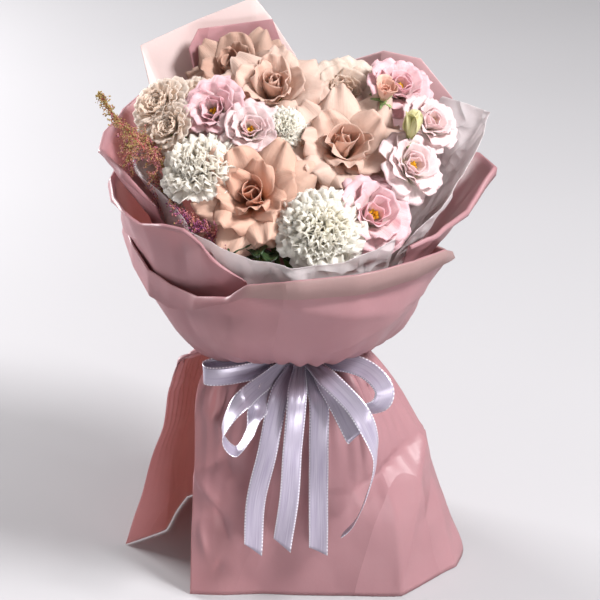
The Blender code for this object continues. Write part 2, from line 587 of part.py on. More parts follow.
def build():
    """Builds every piece of the bouquet."""
    carried = {bloom.name: (bloom.base() - bloom.facing() * SEAT, bloom.facing())
               for bloom in BLOOMS if bloom.name not in BRANCHES}
    for name, ((_, first), *_) in SPRIGS.items():
        line = smooth_run(first, 3)
        carried[name] = (line[0], (line[1] - line[0]).normalized())
    tops = [top for top, _ in carried.values()]
    slots = sorted_into(binding_slots(len(tops)), tops)
    stems = {name: stem_run(slot, *end) for slot, (name, end) in zip(slots, carried.items())}
    grow_flowers(stems)
    grow_sprigs(stems)

    for name, carrier, share, tip, half_width in LEAVES:
        run = stems[carrier]
        on_stem = run[round(share * (len(run) - 1))]
        along = (run[round(share * (len(run) - 1)) + 1] - on_stem).normalized()
        way = Vector(tip) - on_stem
        outwards = (way - along * way.dot(along)).normalized()
        leaf(name, on_stem + outwards * (STEM_DIAMETER / 2 + FILM / 2 + 3 * SEAT), Vector(tip), half_width)

    bpy.ops.mesh.primitive_torus_add(major_radius=TWINE_RADIUS, minor_radius=TWINE_DIAMETER / 2,
                                     major_segments=24, minor_segments=8, location=(0, 0, BIND_HEIGHT))
    maker = bpy.context.object
    mesh = maker.data
    bpy.data.objects.remove(maker)
    dressed("twine_binding", mesh, "twine").location = (0, 0, BIND_HEIGHT)

    for name, gather, stations, colour in (
        ("film_front_sheet", GATHER_FRONT, FRONT_SHEET, "film"),
        ("film_left_sheet", GATHER_SIDE, LEFT_SHEET, "film"),
        ("film_right_sheet", GATHER_REAR, RIGHT_SHEET, "film"),
        ("film_left_rear_sheet", GATHER_REAR, LEFT_REAR_SHEET, "film"),
        ("film_back_pale_sheet", GATHER_BACK, BACK_PALE_SHEET, "pale_film"),
        ("film_back_right_sheet", GATHER_BACK, BACK_RIGHT_SHEET, "film"),
        ("film_back_inner_sheet", GATHER_TISSUE, BACK_INNER_SHEET, "film"),
        ("tissue_left_sheet", GATHER_TISSUE, TISSUE_LEFT, "tissue"),
        ("tissue_front_sheet", GATHER_TISSUE, TISSUE_FRONT, "tissue"),
        ("tissue_right_sheet", GATHER_TISSUE, TISSUE_RIGHT, "tissue"),
    ):
        sheet(name, collar_rails(gather, stations), colour, gathered=True)
    sheet("skirt_front_sheet", skirt_rails(GATHER_SKIRT, FRONT_SKIRT), "film", gathered=True)
    sheet("skirt_rear_sheet", skirt_rails(GATHER_REAR_SKIRT, REAR_SKIRT), "film", gathered=True)

    for name, (line, *width_ways) in RIBBONS.items():
        ribbon(name, line, *width_ways)
    turns = [math.radians(1.0 + 358.0 * k / 24) for k in range(25)]
    middle = Vector((0.0, 0.0, BIND_HEIGHT))
    ring = [middle + Vector((math.sin(turn), -math.cos(turn), 0.0)) * BAND_RADIUS for turn in turns]
    rise = Vector((0.0, 0.0, BAND_WIDTH / 2))
    band = [[point - rise for point in ring], [point + rise for point in ring]]
    sheet("ribbon_band", band, "ribbon", across=1, along=1, thickness=RIBBON_THICKNESS)
    knot()


for leftover in list(bpy.data.objects):
    bpy.data.objects.remove(leftover)
bouquet = bpy.data.collections.new("mixed_flower_bouquet")
bpy.context.scene.collection.children.link(bouquet)
joining_shapes = bpy.data.collections.new("joining_shapes")
bpy.context.scene.collection.children.link(joining_shapes)
build()
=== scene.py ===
"""Looks of a mixed flower bouquet in its film wrapper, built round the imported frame.

Metres, +Z up, -Y the bouquet's front. Angles round the bouquet are degrees from the front, positive
towards the right. Every flower is made of its own petals, every sheet of film and tissue is one
folded and creased surface, and every ribbon is one woven length.
"""

import logging
import math
from dataclasses import dataclass
from enum import Enum

import bmesh
import bpy
import numpy as np
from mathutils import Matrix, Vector, noise

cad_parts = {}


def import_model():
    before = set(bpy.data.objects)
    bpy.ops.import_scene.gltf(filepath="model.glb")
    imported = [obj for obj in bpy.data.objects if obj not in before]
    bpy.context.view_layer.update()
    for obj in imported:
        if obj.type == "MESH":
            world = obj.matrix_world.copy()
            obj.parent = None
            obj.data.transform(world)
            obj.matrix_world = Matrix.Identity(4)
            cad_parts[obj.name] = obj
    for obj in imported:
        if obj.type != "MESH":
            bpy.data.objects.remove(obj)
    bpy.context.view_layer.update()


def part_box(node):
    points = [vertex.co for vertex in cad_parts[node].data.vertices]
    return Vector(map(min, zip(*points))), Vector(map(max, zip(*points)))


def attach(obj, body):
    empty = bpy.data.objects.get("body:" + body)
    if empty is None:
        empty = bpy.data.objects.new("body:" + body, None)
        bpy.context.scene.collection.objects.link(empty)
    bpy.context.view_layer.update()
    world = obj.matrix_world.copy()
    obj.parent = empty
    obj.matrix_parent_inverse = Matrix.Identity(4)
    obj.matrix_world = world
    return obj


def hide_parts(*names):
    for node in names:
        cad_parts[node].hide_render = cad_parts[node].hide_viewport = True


LOG = logging.getLogger("bouquet")
Rows = np.ndarray  # (rows, columns, 3) places of a surface grid
GOLDEN_ANGLE = math.radians(137.5)
MADE: dict[Enum, bpy.types.Material] = {}  # finishes already built

BIND_HEIGHT = 0.243  # middle of the binding
NECK = 0.005  # half height of the gathered stretch
SHEET_GAUGE = 0.0004  # film and tissue as drawn; the real sheets are thinner than a render can show
PETAL_GAUGE = 0.0004
PETAL_BEND = 0.010  # stretch over which a petal held up by a sheet bends
RIBBON_WIDTH = 0.019
RIBBON_GAUGE = 0.0004


# ---------------------------------------------------------------- small tools


def linear(code: str) -> tuple[float, float, float, float]:
    """Turns an sRGB hex colour into linear RGBA.

    Args:
        code: six hex digits, with or without a leading #.

    Returns:
        The linear colour with alpha 1.
    """
    values = [int(code.lstrip("#")[k:k + 2], 16) / 255 for k in (0, 2, 4)]
    return (*(v / 12.92 if v <= 0.04045 else ((v + 0.055) / 1.055) ** 2.4 for v in values), 1.0)


def add_node(tree: bpy.types.NodeTree, kind: str, inputs: dict | None = None, **settings) -> bpy.types.Node:
    """Adds one node with its settings, values and incoming links.

    Args:
        tree: the node tree it goes in.
        kind: the node's type name.
        inputs: socket name or index to a value, or to the socket that feeds it.
        settings: properties set on the node before its inputs.

    Returns:
        The new node.
    """
    made = tree.nodes.new(kind)
    for key, value in settings.items():
        setattr(made, key, value)
    for key, value in (inputs or {}).items():
        if isinstance(value, bpy.types.NodeSocket):
            tree.links.new(value, made.inputs[key])
        else:
            made.inputs[key].default_value = value
    return made


def add_ramp(tree: bpy.types.NodeTree, factor: bpy.types.NodeSocket,
             stops: dict[float, str]) -> bpy.types.NodeSocket:
    """Adds a colour ramp.

    Args:
        tree: the node tree it goes in.
        factor: the socket that drives it.
        stops: place along the ramp to hex colour, in rising order.

    Returns:
        The ramp's colour socket.
    """
    ramp = add_node(tree, "ShaderNodeValToRGB", {"Fac": factor})
    elements = ramp.color_ramp.elements
    while len(elements) < len(stops):
        elements.new(0.5)
    for element, (place, code) in zip(elements, stops.items()):
        element.position, element.color = place, linear(code)
    return ramp.outputs["Color"]


def through(points: Rows, steps: int, axis: int = 0) -> Rows:
    """Refines places along one axis with a Catmull-Rom run through them.

    Args:
        points: the places, any number of axes before the last.
        steps: pieces made between each two places.
        axis: the axis that is refined.

    Returns:
        The refined places.
    """
    p = np.moveaxis(np.asarray(points, float), axis, 0)
    p = np.concatenate([2 * p[:1] - p[1:2], p, 2 * p[-1:] - p[-2:-1]])
    a, b, c, d = p[:-3], p[1:-2], p[2:-1], p[3:]
    run = []
    for k in range(steps):
        t = k / steps
        run.append(0.5 * (2 * b + (c - a) * t + (2 * a - 5 * b + 4 * c - d) * t * t + (3 * b - 3 * c + d - a) * t**3))
    joined = np.stack(run, axis=1).reshape(-1, *p.shape[1:])
    return np.moveaxis(np.concatenate([joined, p[-2:-1]]), 0, axis)


def straight(rails: Rows, steps: int) -> Rows:
    """Refines a grid's columns with straight runs between them.

    Args:
        rails: the grid.
        steps: pieces made between each two columns.

    Returns:
        The refined grid.
    """
    share = (np.arange(steps) / steps)[None, None, :, None]
    run = rails[:, :-1, None] * (1 - share) + rails[:, 1:, None] * share
    return np.concatenate([run.reshape(len(rails), -1, 3), rails[:, -1:]], axis=1)


def grid_normals(rows: Rows) -> Rows:
    """Unit normals of a surface grid."""
    normals = np.cross(np.gradient(rows, axis=1), np.gradient(rows, axis=0))
    return normals / np.maximum(np.linalg.norm(normals, axis=2, keepdims=True), 1e-9)


def ease(values: np.ndarray, low: float, high: float) -> np.ndarray:
    """Steps smoothly from 0 to 1.

    Args:
        values: what is tested.
        low: the value that gives 0.
        high: the value that gives 1.

    Returns:
        The share for each value.
    """
    t = np.clip((values - low) / (high - low), 0.0, 1.0)
    return t * t * (3 - 2 * t)


def mesh_of_grids(name: str, grids: list[tuple[Rows, np.ndarray, float]]) -> bpy.types.Mesh:
    """Joins surface grids into one mesh with a UV map and a tint for each grid.

    Args:
        name: the mesh's name.
        grids: for each grid its places, its (rows, columns, 2) UVs, and its tint from 0 to 1.

    Returns:
        The mesh, with UV map "Sheet" and point attribute "tint".
    """
    places, faces, uvs, tints, start = [], [], [], [], 0
    for rows, uv, tint in grids:
        high, wide = rows.shape[:2]
        ids = np.arange(high * wide).reshape(high, wide) + start
        quads = np.stack([ids[:-1, :-1], ids[:-1, 1:], ids[1:, 1:], ids[1:, :-1]], axis=-1).reshape(-1, 4)
        places.append(rows.reshape(-1, 3))
        faces.append(quads)
        uvs.append(uv.reshape(-1, 2))
        tints.append(np.broadcast_to(tint, (high, wide)).reshape(-1))
        start += high * wide
    mesh = bpy.data.meshes.new(name)
    quads = np.concatenate(faces)
    mesh.from_pydata(np.concatenate(places).tolist(), [], quads.tolist())
    layer = mesh.uv_layers.new(name="Sheet")
    layer.data.foreach_set("uv", np.concatenate(uvs)[quads.reshape(-1)].astype(np.float32).reshape(-1))
    tint = mesh.attributes.new("tint", "FLOAT", "POINT")
    tint.data.foreach_set("value", np.concatenate(tints).astype(np.float32))
    mesh.shade_smooth()
    return mesh


def unit_uv(rows: Rows) -> np.ndarray:
    """Makes UVs from 0 to 1 across a grid's columns and up its rows.

    Args:
        rows: the surface grid.

    Returns:
        The UVs.
    """
    high, wide = rows.shape[:2]
    v, u = np.meshgrid(np.linspace(0, 1, high), np.linspace(0, 1, wide), indexing="ij")
    return np.stack([u, v], axis=2)


def metric_uv(rows: Rows) -> np.ndarray:
    """Makes UVs in metres.

    Args:
        rows: the surface grid.

    Returns:
        The UVs, measured along the grid's middle row and its middle column.
    """
    high, wide = rows.shape[:2]
    across = np.linalg.norm(np.diff(rows[high // 2], axis=0), axis=1)
    along = np.linalg.norm(np.diff(rows[:, wide // 2], axis=0), axis=1)
    u = np.concatenate([[0.0], np.cumsum(across)])
    v = np.concatenate([[0.0], np.cumsum(along)])
    return np.stack(np.meshgrid(u, v), axis=2)


def linked(name: str, data: bpy.types.ID) -> bpy.types.Object:
    """Makes an object of the data and links it to the scene.

    Args:
        name: the object's name.
        data: its mesh, lamp or camera.

    Returns:
        The object.
    """
    thing = bpy.data.objects.new(name, data)
    bpy.context.scene.collection.objects.link(thing)
    return thing


def made_whole(mesh: bpy.types.Mesh, distance: float) -> None:
    """Merges a mesh's doubled points and turns its faces outwards.

    Args:
        mesh: the mesh, changed in place.
        distance: points nearer than this become one.
    """
    work = bmesh.new()
    work.from_mesh(mesh)
    bmesh.ops.remove_doubles(work, verts=work.verts, dist=distance)
    bmesh.ops.recalc_face_normals(work, faces=work.faces)
    work.to_mesh(mesh)
    work.free()


def grown_mesh(maker: bpy.types.Object, name: str) -> bpy.types.Mesh:
    """Turns what an object's modifiers make of it into a plain smooth mesh, and removes the object.

    Args:
        maker: the object that holds the modifiers.
        name: the new mesh's name.

    Returns:
        The mesh.
    """
    bpy.context.view_layer.update()
    mesh = bpy.data.meshes.new_from_object(maker.evaluated_get(bpy.context.evaluated_depsgraph_get()))
    bpy.data.objects.remove(maker)
    mesh.name = name
    mesh.shade_smooth()
    return mesh


def new_material(name: str) -> tuple[bpy.types.Material, bpy.types.NodeTree]:
    """Makes an empty node material.

    Args:
        name: the material's name.

    Returns:
        The material and its node tree, with no node in it.
    """
    material = bpy.data.materials.new(name)
    material.use_nodes = True
    material.node_tree.nodes.clear()
    return material, material.node_tree


class Piece:
    """A finished piece: its object, its finish, and its place in the frame."""

    def __init__(self, name: str, mesh: bpy.types.Mesh, material: bpy.types.Material, slot: str,
                 replaced: tuple[str, ...] = ()) -> None:
        """Links the mesh as an object, hangs it from the root body and hides the CAD nodes that it stands for.

        Args:
            name: the piece's name.
            mesh: its mesh, in place.
            material: its finish.
            slot: the record's material slot; not used.
            replaced: the CAD nodes that it stands for.
        """
        self.thing = linked(name, mesh)
        mesh.materials.clear()
        mesh.materials.append(material)
        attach(self.thing, "root")
        if replaced:
            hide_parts(*replaced)
        LOG.info("%s: %d faces", name, len(mesh.polygons))

    def walled(self, gauge: float) -> "Piece":
        """Gives the piece's open surface a wall.

        Args:
            gauge: the wall's thickness.

        Returns:
            The piece itself.
        """
        wall = self.thing.modifiers.new("wall", "SOLIDIFY")
        wall.thickness = gauge
        wall.offset = 0.0
        return self


# ---------------------------------------------------------------- finishes


@dataclass(frozen=True)
class PetalFinish:
    """Living petal: thin, matte and velvety, letting some light through, paler or warmer at its base."""

    name: str
    base: str
    middle: str
    edge: str
    dark: str
    glow: float = 0.42

    def make(self) -> bpy.types.Material:
        """Builds the material; UV v runs from the petal's base to its rim.

        Returns:
            The material.
        """
        material, tree = new_material(self.name)
        uv = add_node(tree, "ShaderNodeUVMap", uv_map="Sheet")
        parts = add_node(tree, "ShaderNodeSeparateXYZ", {0: uv.outputs[0]})
        place = add_node(tree, "ShaderNodeTexCoord")
        # Blotches about 12 mm across, and veins about 0.8 mm apart that fan out to the rim.
        blotch = add_node(tree, "ShaderNodeTexNoise", {
            "Vector": place.outputs["Object"], "Scale": 85.0, "Detail": 3.0})
        wander = add_node(tree, "ShaderNodeMath", {
            0: blotch.outputs["Fac"], 1: 0.36}, operation="MULTIPLY_ADD")
        wander.inputs[2].default_value = -0.18
        height = add_node(tree, "ShaderNodeMath", {
            0: parts.outputs["Y"], 1: wander.outputs[0]}, operation="ADD")
        colour = add_ramp(tree, height.outputs[0], {0.06: self.base, 0.45: self.middle, 0.97: self.edge})
        tint = add_node(tree, "ShaderNodeAttribute", attribute_name="tint")
        toned = add_node(tree, "ShaderNodeMix", data_type="RGBA", blend_type="MULTIPLY")
        tree.links.new(tint.outputs["Fac"], toned.inputs[0])
        tree.links.new(colour, toned.inputs[6])
        toned.inputs[7].default_value = linear(self.dark)
        stretch = add_node(tree, "ShaderNodeMapping", {"Vector": uv.outputs[0], "Scale": (46.0, 2.5, 1.0)})
        veins = add_node(tree, "ShaderNodeTexNoise", {
            "Vector": stretch.outputs[0], "Scale": 1.0, "Detail": 2.0})
        soft = add_node(tree, "ShaderNodeBump", {
            "Height": blotch.outputs["Fac"], "Strength": 0.6, "Distance": 0.0022})
        bump = add_node(tree, "ShaderNodeBump", {
            "Height": veins.outputs["Fac"], "Strength": 0.55, "Distance": 0.0008, "Normal": soft.outputs[0]})
        shader = add_node(tree, "ShaderNodeBsdfPrincipled", {
            "Base Color": toned.outputs[2], "Roughness": 0.62, "Specular IOR Level": 0.3, "Sheen Weight": 0.12,
            "Normal": bump.outputs[0]})
        lit = add_node(tree, "ShaderNodeBsdfTranslucent", {
            "Color": toned.outputs[2], "Normal": bump.outputs[0]})
        mix = add_node(tree, "ShaderNodeMixShader", {0: self.glow, 1: shader.outputs[0], 2: lit.outputs[0]})
        add_node(tree, "ShaderNodeOutputMaterial", {"Surface": mix.outputs[0]})
        return material


@dataclass(frozen=True)
class SheetFinish:
    """Calendered floral film or tissue: matte, faintly mottled, and lit through from behind.

    The grain and the crumples are patterns to a metre, their depths in metres; clear is the share of light that
    passes straight through, and drape stretches the crumples down the sheet.
    """

    name: str
    colour: str
    mottle: str
    rough: float
    glow: float
    glow_colour: str
    grain: float = 260.0
    grain_depth: float = 0.0002
    clear: float = 0.0
    reverse: str = "#b29492"
    crumple: float = 0.0
    crumple_scale: float = 9.0
    drape: float = 0.32

    def make(self) -> bpy.types.Material:
        """Builds the material on Object coordinates.

        Returns:
            The material.
        """
        material, tree = new_material(self.name)
        place = add_node(tree, "ShaderNodeTexCoord")
        # Clouds about 60 mm across. The real haze is finer than 0.1 mm; its grain is drawn at 2 to 4 mm to show.
        cloud = add_node(tree, "ShaderNodeTexNoise", {
            "Vector": place.outputs["Object"], "Scale": 16.0, "Detail": 4.0})
        face = add_ramp(tree, cloud.outputs["Fac"], {0.30: self.mottle, 0.70: self.colour})
        tint = add_node(tree, "ShaderNodeAttribute", attribute_name="tint")
        turned = add_node(tree, "ShaderNodeMix", {
            0: tint.outputs["Fac"], 6: face, 7: linear(self.reverse)}, data_type="RGBA")
        colour = turned.outputs[2]
        grain = add_node(tree, "ShaderNodeTexNoise", {
            "Vector": place.outputs["Object"], "Scale": self.grain, "Detail": 3.0, "Roughness": 0.6})
        bump = add_node(tree, "ShaderNodeBump", {
            "Height": grain.outputs["Fac"], "Strength": 0.5, "Distance": self.grain_depth})
        if self.crumple:
            # Sharp creases between soft planes, about 110 mm apart on handled film and 26 mm on crushed tissue.
            hung = add_node(tree, "ShaderNodeMapping", {
                "Vector": place.outputs["Object"], "Rotation": (0.15, 0.2, 0.0), "Scale": (1.0, 1.0, self.drape)})
            ridge = add_node(tree, "ShaderNodeTexNoise", {
                "Vector": hung.outputs[0], "Scale": self.crumple_scale, "Detail": 1.0, "Offset": 0.85,
                "Gain": 1.0, "Distortion": 0.4},
                noise_type="RIDGED_MULTIFRACTAL")
            bump = add_node(tree, "ShaderNodeBump", {
                "Height": ridge.outputs["Fac"], "Strength": 0.8, "Distance": self.crumple,
                "Normal": bump.outputs[0]})
        shader = add_node(tree, "ShaderNodeBsdfPrincipled", {
            "Base Color": colour, "Roughness": self.rough, "Specular IOR Level": 0.42, "Normal": bump.outputs[0]})
        lit = add_node(tree, "ShaderNodeBsdfTranslucent", {
            "Color": linear(self.glow_colour), "Normal": bump.outputs[0]})
        mix = add_node(tree, "ShaderNodeMixShader", {0: self.glow, 1: shader.outputs[0], 2: lit.outputs[0]})
        last = mix.outputs[0]
        if self.clear:
            gap = add_node(tree, "ShaderNodeBsdfTransparent")
            last = add_node(tree, "ShaderNodeMixShader", {
                0: self.clear, 1: last, 2: gap.outputs[0]}).outputs[0]
        add_node(tree, "ShaderNodeOutputMaterial", {"Surface": last})
        return material


@dataclass(frozen=True)
class SatinFinish:
    """Woven satin ribbon: floats that gleam across the length, with a corded selvage on each edge."""

    name: str
    colour: str
    shade: str

    def make(self) -> bpy.types.Material:
        """Builds the material; UVs are in metres across and along the ribbon.

        Returns:
            The material.
        """
        material, tree = new_material(self.name)
        uv = add_node(tree, "ShaderNodeUVMap", uv_map="Sheet")
        parts = add_node(tree, "ShaderNodeSeparateXYZ", {0: uv.outputs[0]})
        # Weft threads 0.5 mm apart; the real 0.1 mm spacing is too fine to show.
        thread = add_node(tree, "ShaderNodeTexWave", {
            "Vector": uv.outputs[0], "Scale": 320.0, "Distortion": 0.6, "Detail": 1.0}, bands_direction="Y")
        streak = add_node(tree, "ShaderNodeMapping", {"Vector": uv.outputs[0], "Scale": (900.0, 22.0, 1.0)})
        fibre = add_node(tree, "ShaderNodeTexNoise", {
            "Vector": streak.outputs[0], "Scale": 1.0, "Detail": 2.0})
        colour = add_ramp(tree, fibre.outputs["Fac"], {0.3: self.shade, 0.7: self.colour})
        middle = add_node(tree, "ShaderNodeMath", {
            0: parts.outputs["X"], 1: RIBBON_WIDTH / 2}, operation="SUBTRACT")
        off = add_node(tree, "ShaderNodeMath", {0: middle.outputs[0]}, operation="ABSOLUTE")
        edge = add_node(tree, "ShaderNodeMath", {0: off.outputs[0], 1: RIBBON_WIDTH / 2 - 0.0011},
                        operation="GREATER_THAN")
        # Selvage loops 1.6 mm apart.
        loops = add_node(tree, "ShaderNodeTexWave", {
            "Vector": uv.outputs[0], "Scale": 98.0}, bands_direction="Y")
        cord = add_node(tree, "ShaderNodeMath", {
            0: edge.outputs[0], 1: loops.outputs["Fac"]}, operation="MULTIPLY")
        pale = add_node(tree, "ShaderNodeMix", data_type="RGBA")
        tree.links.new(cord.outputs[0], pale.inputs[0])
        tree.links.new(colour, pale.inputs[6])
        pale.inputs[7].default_value = linear("#fbf9ff")
        relief = add_node(tree, "ShaderNodeMath", {0: cord.outputs[0], 1: 3.0, 2: thread.outputs["Fac"]},
                          operation="MULTIPLY_ADD")
        bump = add_node(tree, "ShaderNodeBump", {
            "Height": relief.outputs[0], "Strength": 0.25, "Distance": 0.0001})
        shader = add_node(tree, "ShaderNodeBsdfPrincipled", {
            "Base Color": pale.outputs[2], "Roughness": 0.30, "Metallic": 0.25, "Anisotropic": 0.5, "Sheen Weight": 0.1,
            "Specular IOR Level": 0.8, "Normal": bump.outputs[0]})
        add_node(tree, "ShaderNodeOutputMaterial", {"Surface": shader.outputs[0]})
        return material


@dataclass(frozen=True)
class GreenFinish:
    """Plant skin: waxy, mottled along its length, with fine ridges.

    A third colour follows the light one, and a lean moves the colours along with height, as on a fading spray.
    """

    name: str
    light: str
    dark: str
    rough: float = 0.5
    scale: float = 60.0
    third: str = ""
    lean: float = 0.0

    def make(self) -> bpy.types.Material:
        """Builds the material on Object coordinates.

        Returns:
            The material.
        """
        material, tree = new_material(self.name)
        place = add_node(tree, "ShaderNodeTexCoord")
        # Mottling four times as long as it is wide (17 mm wide on a stem), over ridges about 1 mm apart.
        longer = add_node(tree, "ShaderNodeMapping", {
            "Vector": place.outputs["Object"], "Scale": (1.0, 1.0, 0.25)})
        cloud = add_node(tree, "ShaderNodeTexNoise", {
            "Vector": longer.outputs[0], "Scale": self.scale, "Detail": 4.0})
        # A lean makes the lower end of a spray take the later colours, from 440 mm above the floor down.
        parts = add_node(tree, "ShaderNodeSeparateXYZ", {0: place.outputs["Object"]})
        lower = add_node(tree, "ShaderNodeMath", {0: parts.outputs["Z"], 1: -self.lean, 2: 0.44 * self.lean},
                         operation="MULTIPLY_ADD")
        height = add_node(tree, "ShaderNodeMath", {
            0: cloud.outputs["Fac"], 1: lower.outputs[0]}, operation="ADD")
        stops = {0.38: self.dark, 0.52: self.light, 0.64: self.third or self.light}
        colour = add_ramp(tree, height.outputs[0], stops)
        ridge = add_node(tree, "ShaderNodeTexNoise", {
            "Vector": longer.outputs[0], "Scale": 900.0, "Detail": 1.0})
        bump = add_node(tree, "ShaderNodeBump", {
            "Height": ridge.outputs["Fac"], "Strength": 0.4, "Distance": 0.0003})
        shader = add_node(tree, "ShaderNodeBsdfPrincipled", {
            "Base Color": colour, "Roughness": self.rough, "Normal": bump.outputs[0]})
        add_node(tree, "ShaderNodeOutputMaterial", {"Surface": shader.outputs[0]})
        return material


class Finish(Enum):
    """Every finish of the bouquet."""

    # Fresh petals: velvety, warm at the base and paler at the rim.
    BLUSH_ROSE = PetalFinish("blush_rose_petal", "#f8d4b8", "#f0dacd", "#e8cec1", "#fae0d2", 0.34)
    PEACH_ROSE = PetalFinish("peach_rose_petal", "#f8c89c", "#eecfbd", "#e7c4b2", "#f8d4c0", 0.34)
    # A darker, greyer copy of the rose colours for the rose at the back: painted shade.
    SHADED_ROSE = PetalFinish("rose_petal_painted_shade", "#eec8ac", "#e2c4b4", "#d6b6a6", "#f0d2c2", 0.34)
    CREAM_ROSE = PetalFinish("cream_rose_petal", "#f3dfc4", "#f8ede4", "#f3e6dc", "#f4e2d4", 0.45)
    SPRAY_ROSE = PetalFinish("spray_rose_petal", "#f6e6cc", "#fbf1e8", "#f6eae0", "#f4e6d8", 0.45)
    CARNATION = PetalFinish("carnation_petal", "#fbf6e0", "#fefcf6", "#fffdf9", "#fcf8ea", 0.5)
    WHITE_CARNATION = PetalFinish("white_carnation_petal", "#faf4e6", "#fefbf6", "#fffcf7", "#fcf6ec", 0.5)
    LISIANTHUS = PetalFinish("lisianthus_petal", "#fbf4dc", "#fcefee", "#f7d6dc", "#f8e0e2", 0.40)
    PALE_LISIANTHUS = PetalFinish("pale_lisianthus_petal", "#faf3c8", "#fcf5f2", "#f8e4e6", "#f8e6e4", 0.40)
    PEACH_SIDE = PetalFinish("peach_side_petal", "#f0dcb4", "#fae2d2", "#f6d0c0", "#ecbcaa", 0.35)
    BUD = PetalFinish("bud_petal", "#c0c47c", "#ece8b0", "#f4eec6", "#c0c080", 0.3)
    # Living green and its waxy skin; the leaves are the darkest thing in the bouquet.
    STAMEN = GreenFinish("stamen_yellow", "#f2c832", "#d99a1c", 0.6, 300.0)
    SEPAL = GreenFinish("sepal_green", "#8fa268", "#55703a", 0.55, 120.0)
    STEM = GreenFinish("stem_green", "#6d8a45", "#41602c", 0.45)
    LEAF = GreenFinish("leaf_green", "#34492b", "#141e11", 0.4, 90.0)
    RED_TWIG = GreenFinish("astilbe_twig", "#a8504c", "#6e3a34", 0.6, 200.0)
    FLORET = GreenFinish("astilbe_floret", "#b87470", "#9c844c", 0.75, 190.0, "#8c4674", 2.4)
    # Matte polypropylene film, a paler copy of it whose colour is painted light coming through the single back-right
    # sheet, and crushed tissue.
    FILM = SheetFinish("dusty_rose_film", "#bb8f95", "#b4878e", 0.40, 0.32, "#e0aaa2", crumple=0.0060)
    BACKLIT_FILM = SheetFinish("rose_film_painted_backlight", "#dab8bc", "#d4b0b5", 0.40, 0.32, "#e6c2c0", crumple=0.0060)
    PALE_FILM = SheetFinish("pale_pink_film", "#e6d2cf", "#dfc8c6", 0.40, 0.14, "#e8c8c4")
    TISSUE = SheetFinish("white_tissue", "#eee8ea", "#e4dcde", 0.55, 0.38, "#f8eeee", 420.0, 0.0003, 0.20,
                         crumple=0.0050, crumple_scale=38.0, drape=1.0)
    # Polyester satin that gleams across its length, and rough jute.
    SATIN = SatinFinish("lilac_satin", "#b8b0c0", "#a096ac")
    TWINE = GreenFinish("jute_twine", "#b8996c", "#8a6c42", 0.85, 700.0)

    def material(self) -> bpy.types.Material:
        """The finish's material, made once."""
        if self not in MADE:
            MADE[self] = self.value.make()
        return MADE[self]


# ---------------------------------------------------------------- wrapper


@dataclass(frozen=True)
class Station:
    """One line of a collar sheet, from the binding to its rim, and how its rim is rolled or turned back."""

    angle: float
    knee: tuple[float, float]
    belly: tuple[float, float]
    rim: tuple[float, float]
    roll: float = 0.001
    turn: float = 12.0
    flap: float = 0.001

    def profile(self, gather: float, neck_top: float) -> list[tuple[float, float]]:
        """The line's (radius, height) points.

        Args:
            gather: radius at the binding.
            neck_top: height where the sheet leaves the binding.

        Returns:
            Ten points, the last five round the rim's roll and along its flap.
        """
        points = [(gather, BIND_HEIGHT - NECK), (gather, neck_top), self.knee, self.belly, self.rim]
        heading = math.atan2(self.rim[1] - self.belly[1], self.rim[0] - self.belly[0])
        r, z = self.rim
        for _ in range(4):
            heading -= math.radians(self.turn) / 4
            step = 1.2 * self.roll * math.sin(math.radians(max(self.turn, 1.0)) / 8)
            step = max(step, 0.0004)
            r, z = r + step * math.cos(heading), z + step * math.sin(heading)
            points.append((r, z))
        points.append((r + self.flap * math.cos(heading), z + self.flap * math.sin(heading)))
        return points


@dataclass(frozen=True)
class Fold:
    """A crease in a sheet: its two ends as shares across and along, its depth and half width in metres."""

    start: tuple[float, float]
    end: tuple[float, float]
    depth: float
    width: float


def pressed(rows: Rows, folds: tuple[Fold, ...]) -> Rows:
    """Presses folds into a sheet.

    Args:
        rows: the sheet's grid.
        folds: the creases.

    Returns:
        The creased grid.
    """
    normals = grid_normals(rows)
    high, wide = rows.shape[:2]
    out = rows.copy()
    for fold in folds:
        ends = [rows[min(int(v * (high - 1)), high - 1), min(int(u * (wide - 1)), wide - 1)]
                for u, v in (fold.start, fold.end)]
        way = ends[1] - ends[0]
        length = max(float(np.linalg.norm(way)), 1e-6)
        share = np.clip(((rows - ends[0]) @ way) / length**2, 0.0, 1.0)
        off = np.linalg.norm(rows - ends[0] - share[..., None] * way, axis=2) / fold.width
        # A crease is deepest in its middle and dies away at both ends.
        fade = np.sin(math.pi * np.clip(share * 0.9 + 0.08, 0, 1)) ** 0.6
        out += normals * (fold.depth * np.exp(-off) * fade)[..., None]
    return out


@dataclass(frozen=True)
class Crease:
    """A crease across the bouquet's front: (x, z) places along it, its depth, its reach above and below."""

    line: tuple
    depth: float
    above: float
    below: float

    def press(self, rows: Rows) -> Rows:
        """Presses this crease into a sheet's front.

        Args:
            rows: the sheet's grid.

        Returns:
            The creased grid.
        """
        flat = rows[..., (0, 2)]
        best = np.full(rows.shape[:2], np.inf)
        side = np.zeros(rows.shape[:2])
        along = np.zeros(rows.shape[:2])
        for k, (start, end) in enumerate(zip(self.line[:-1], self.line[1:])):
            start, way = np.array(start), np.array(end) - np.array(start)
            share = np.clip(((flat - start) @ way) / (way @ way), 0, 1)
            gap = flat - start - share[..., None] * way
            far = np.linalg.norm(gap, axis=2)
            nearer = far < best
            best = np.where(nearer, far, best)
            side = np.where(nearer, gap[..., 1], side)
            along = np.where(nearer, (k + share) / (len(self.line) - 1), along)
        reach = np.where(side > 0, self.above, self.below)
        fade = np.sin(math.pi * (0.06 + 0.88 * along)) ** 0.7 * ease(-rows[..., 1], -0.02, 0.02)
        return rows + grid_normals(rows) * (self.depth * np.exp(-best / reach) * fade)[..., None]


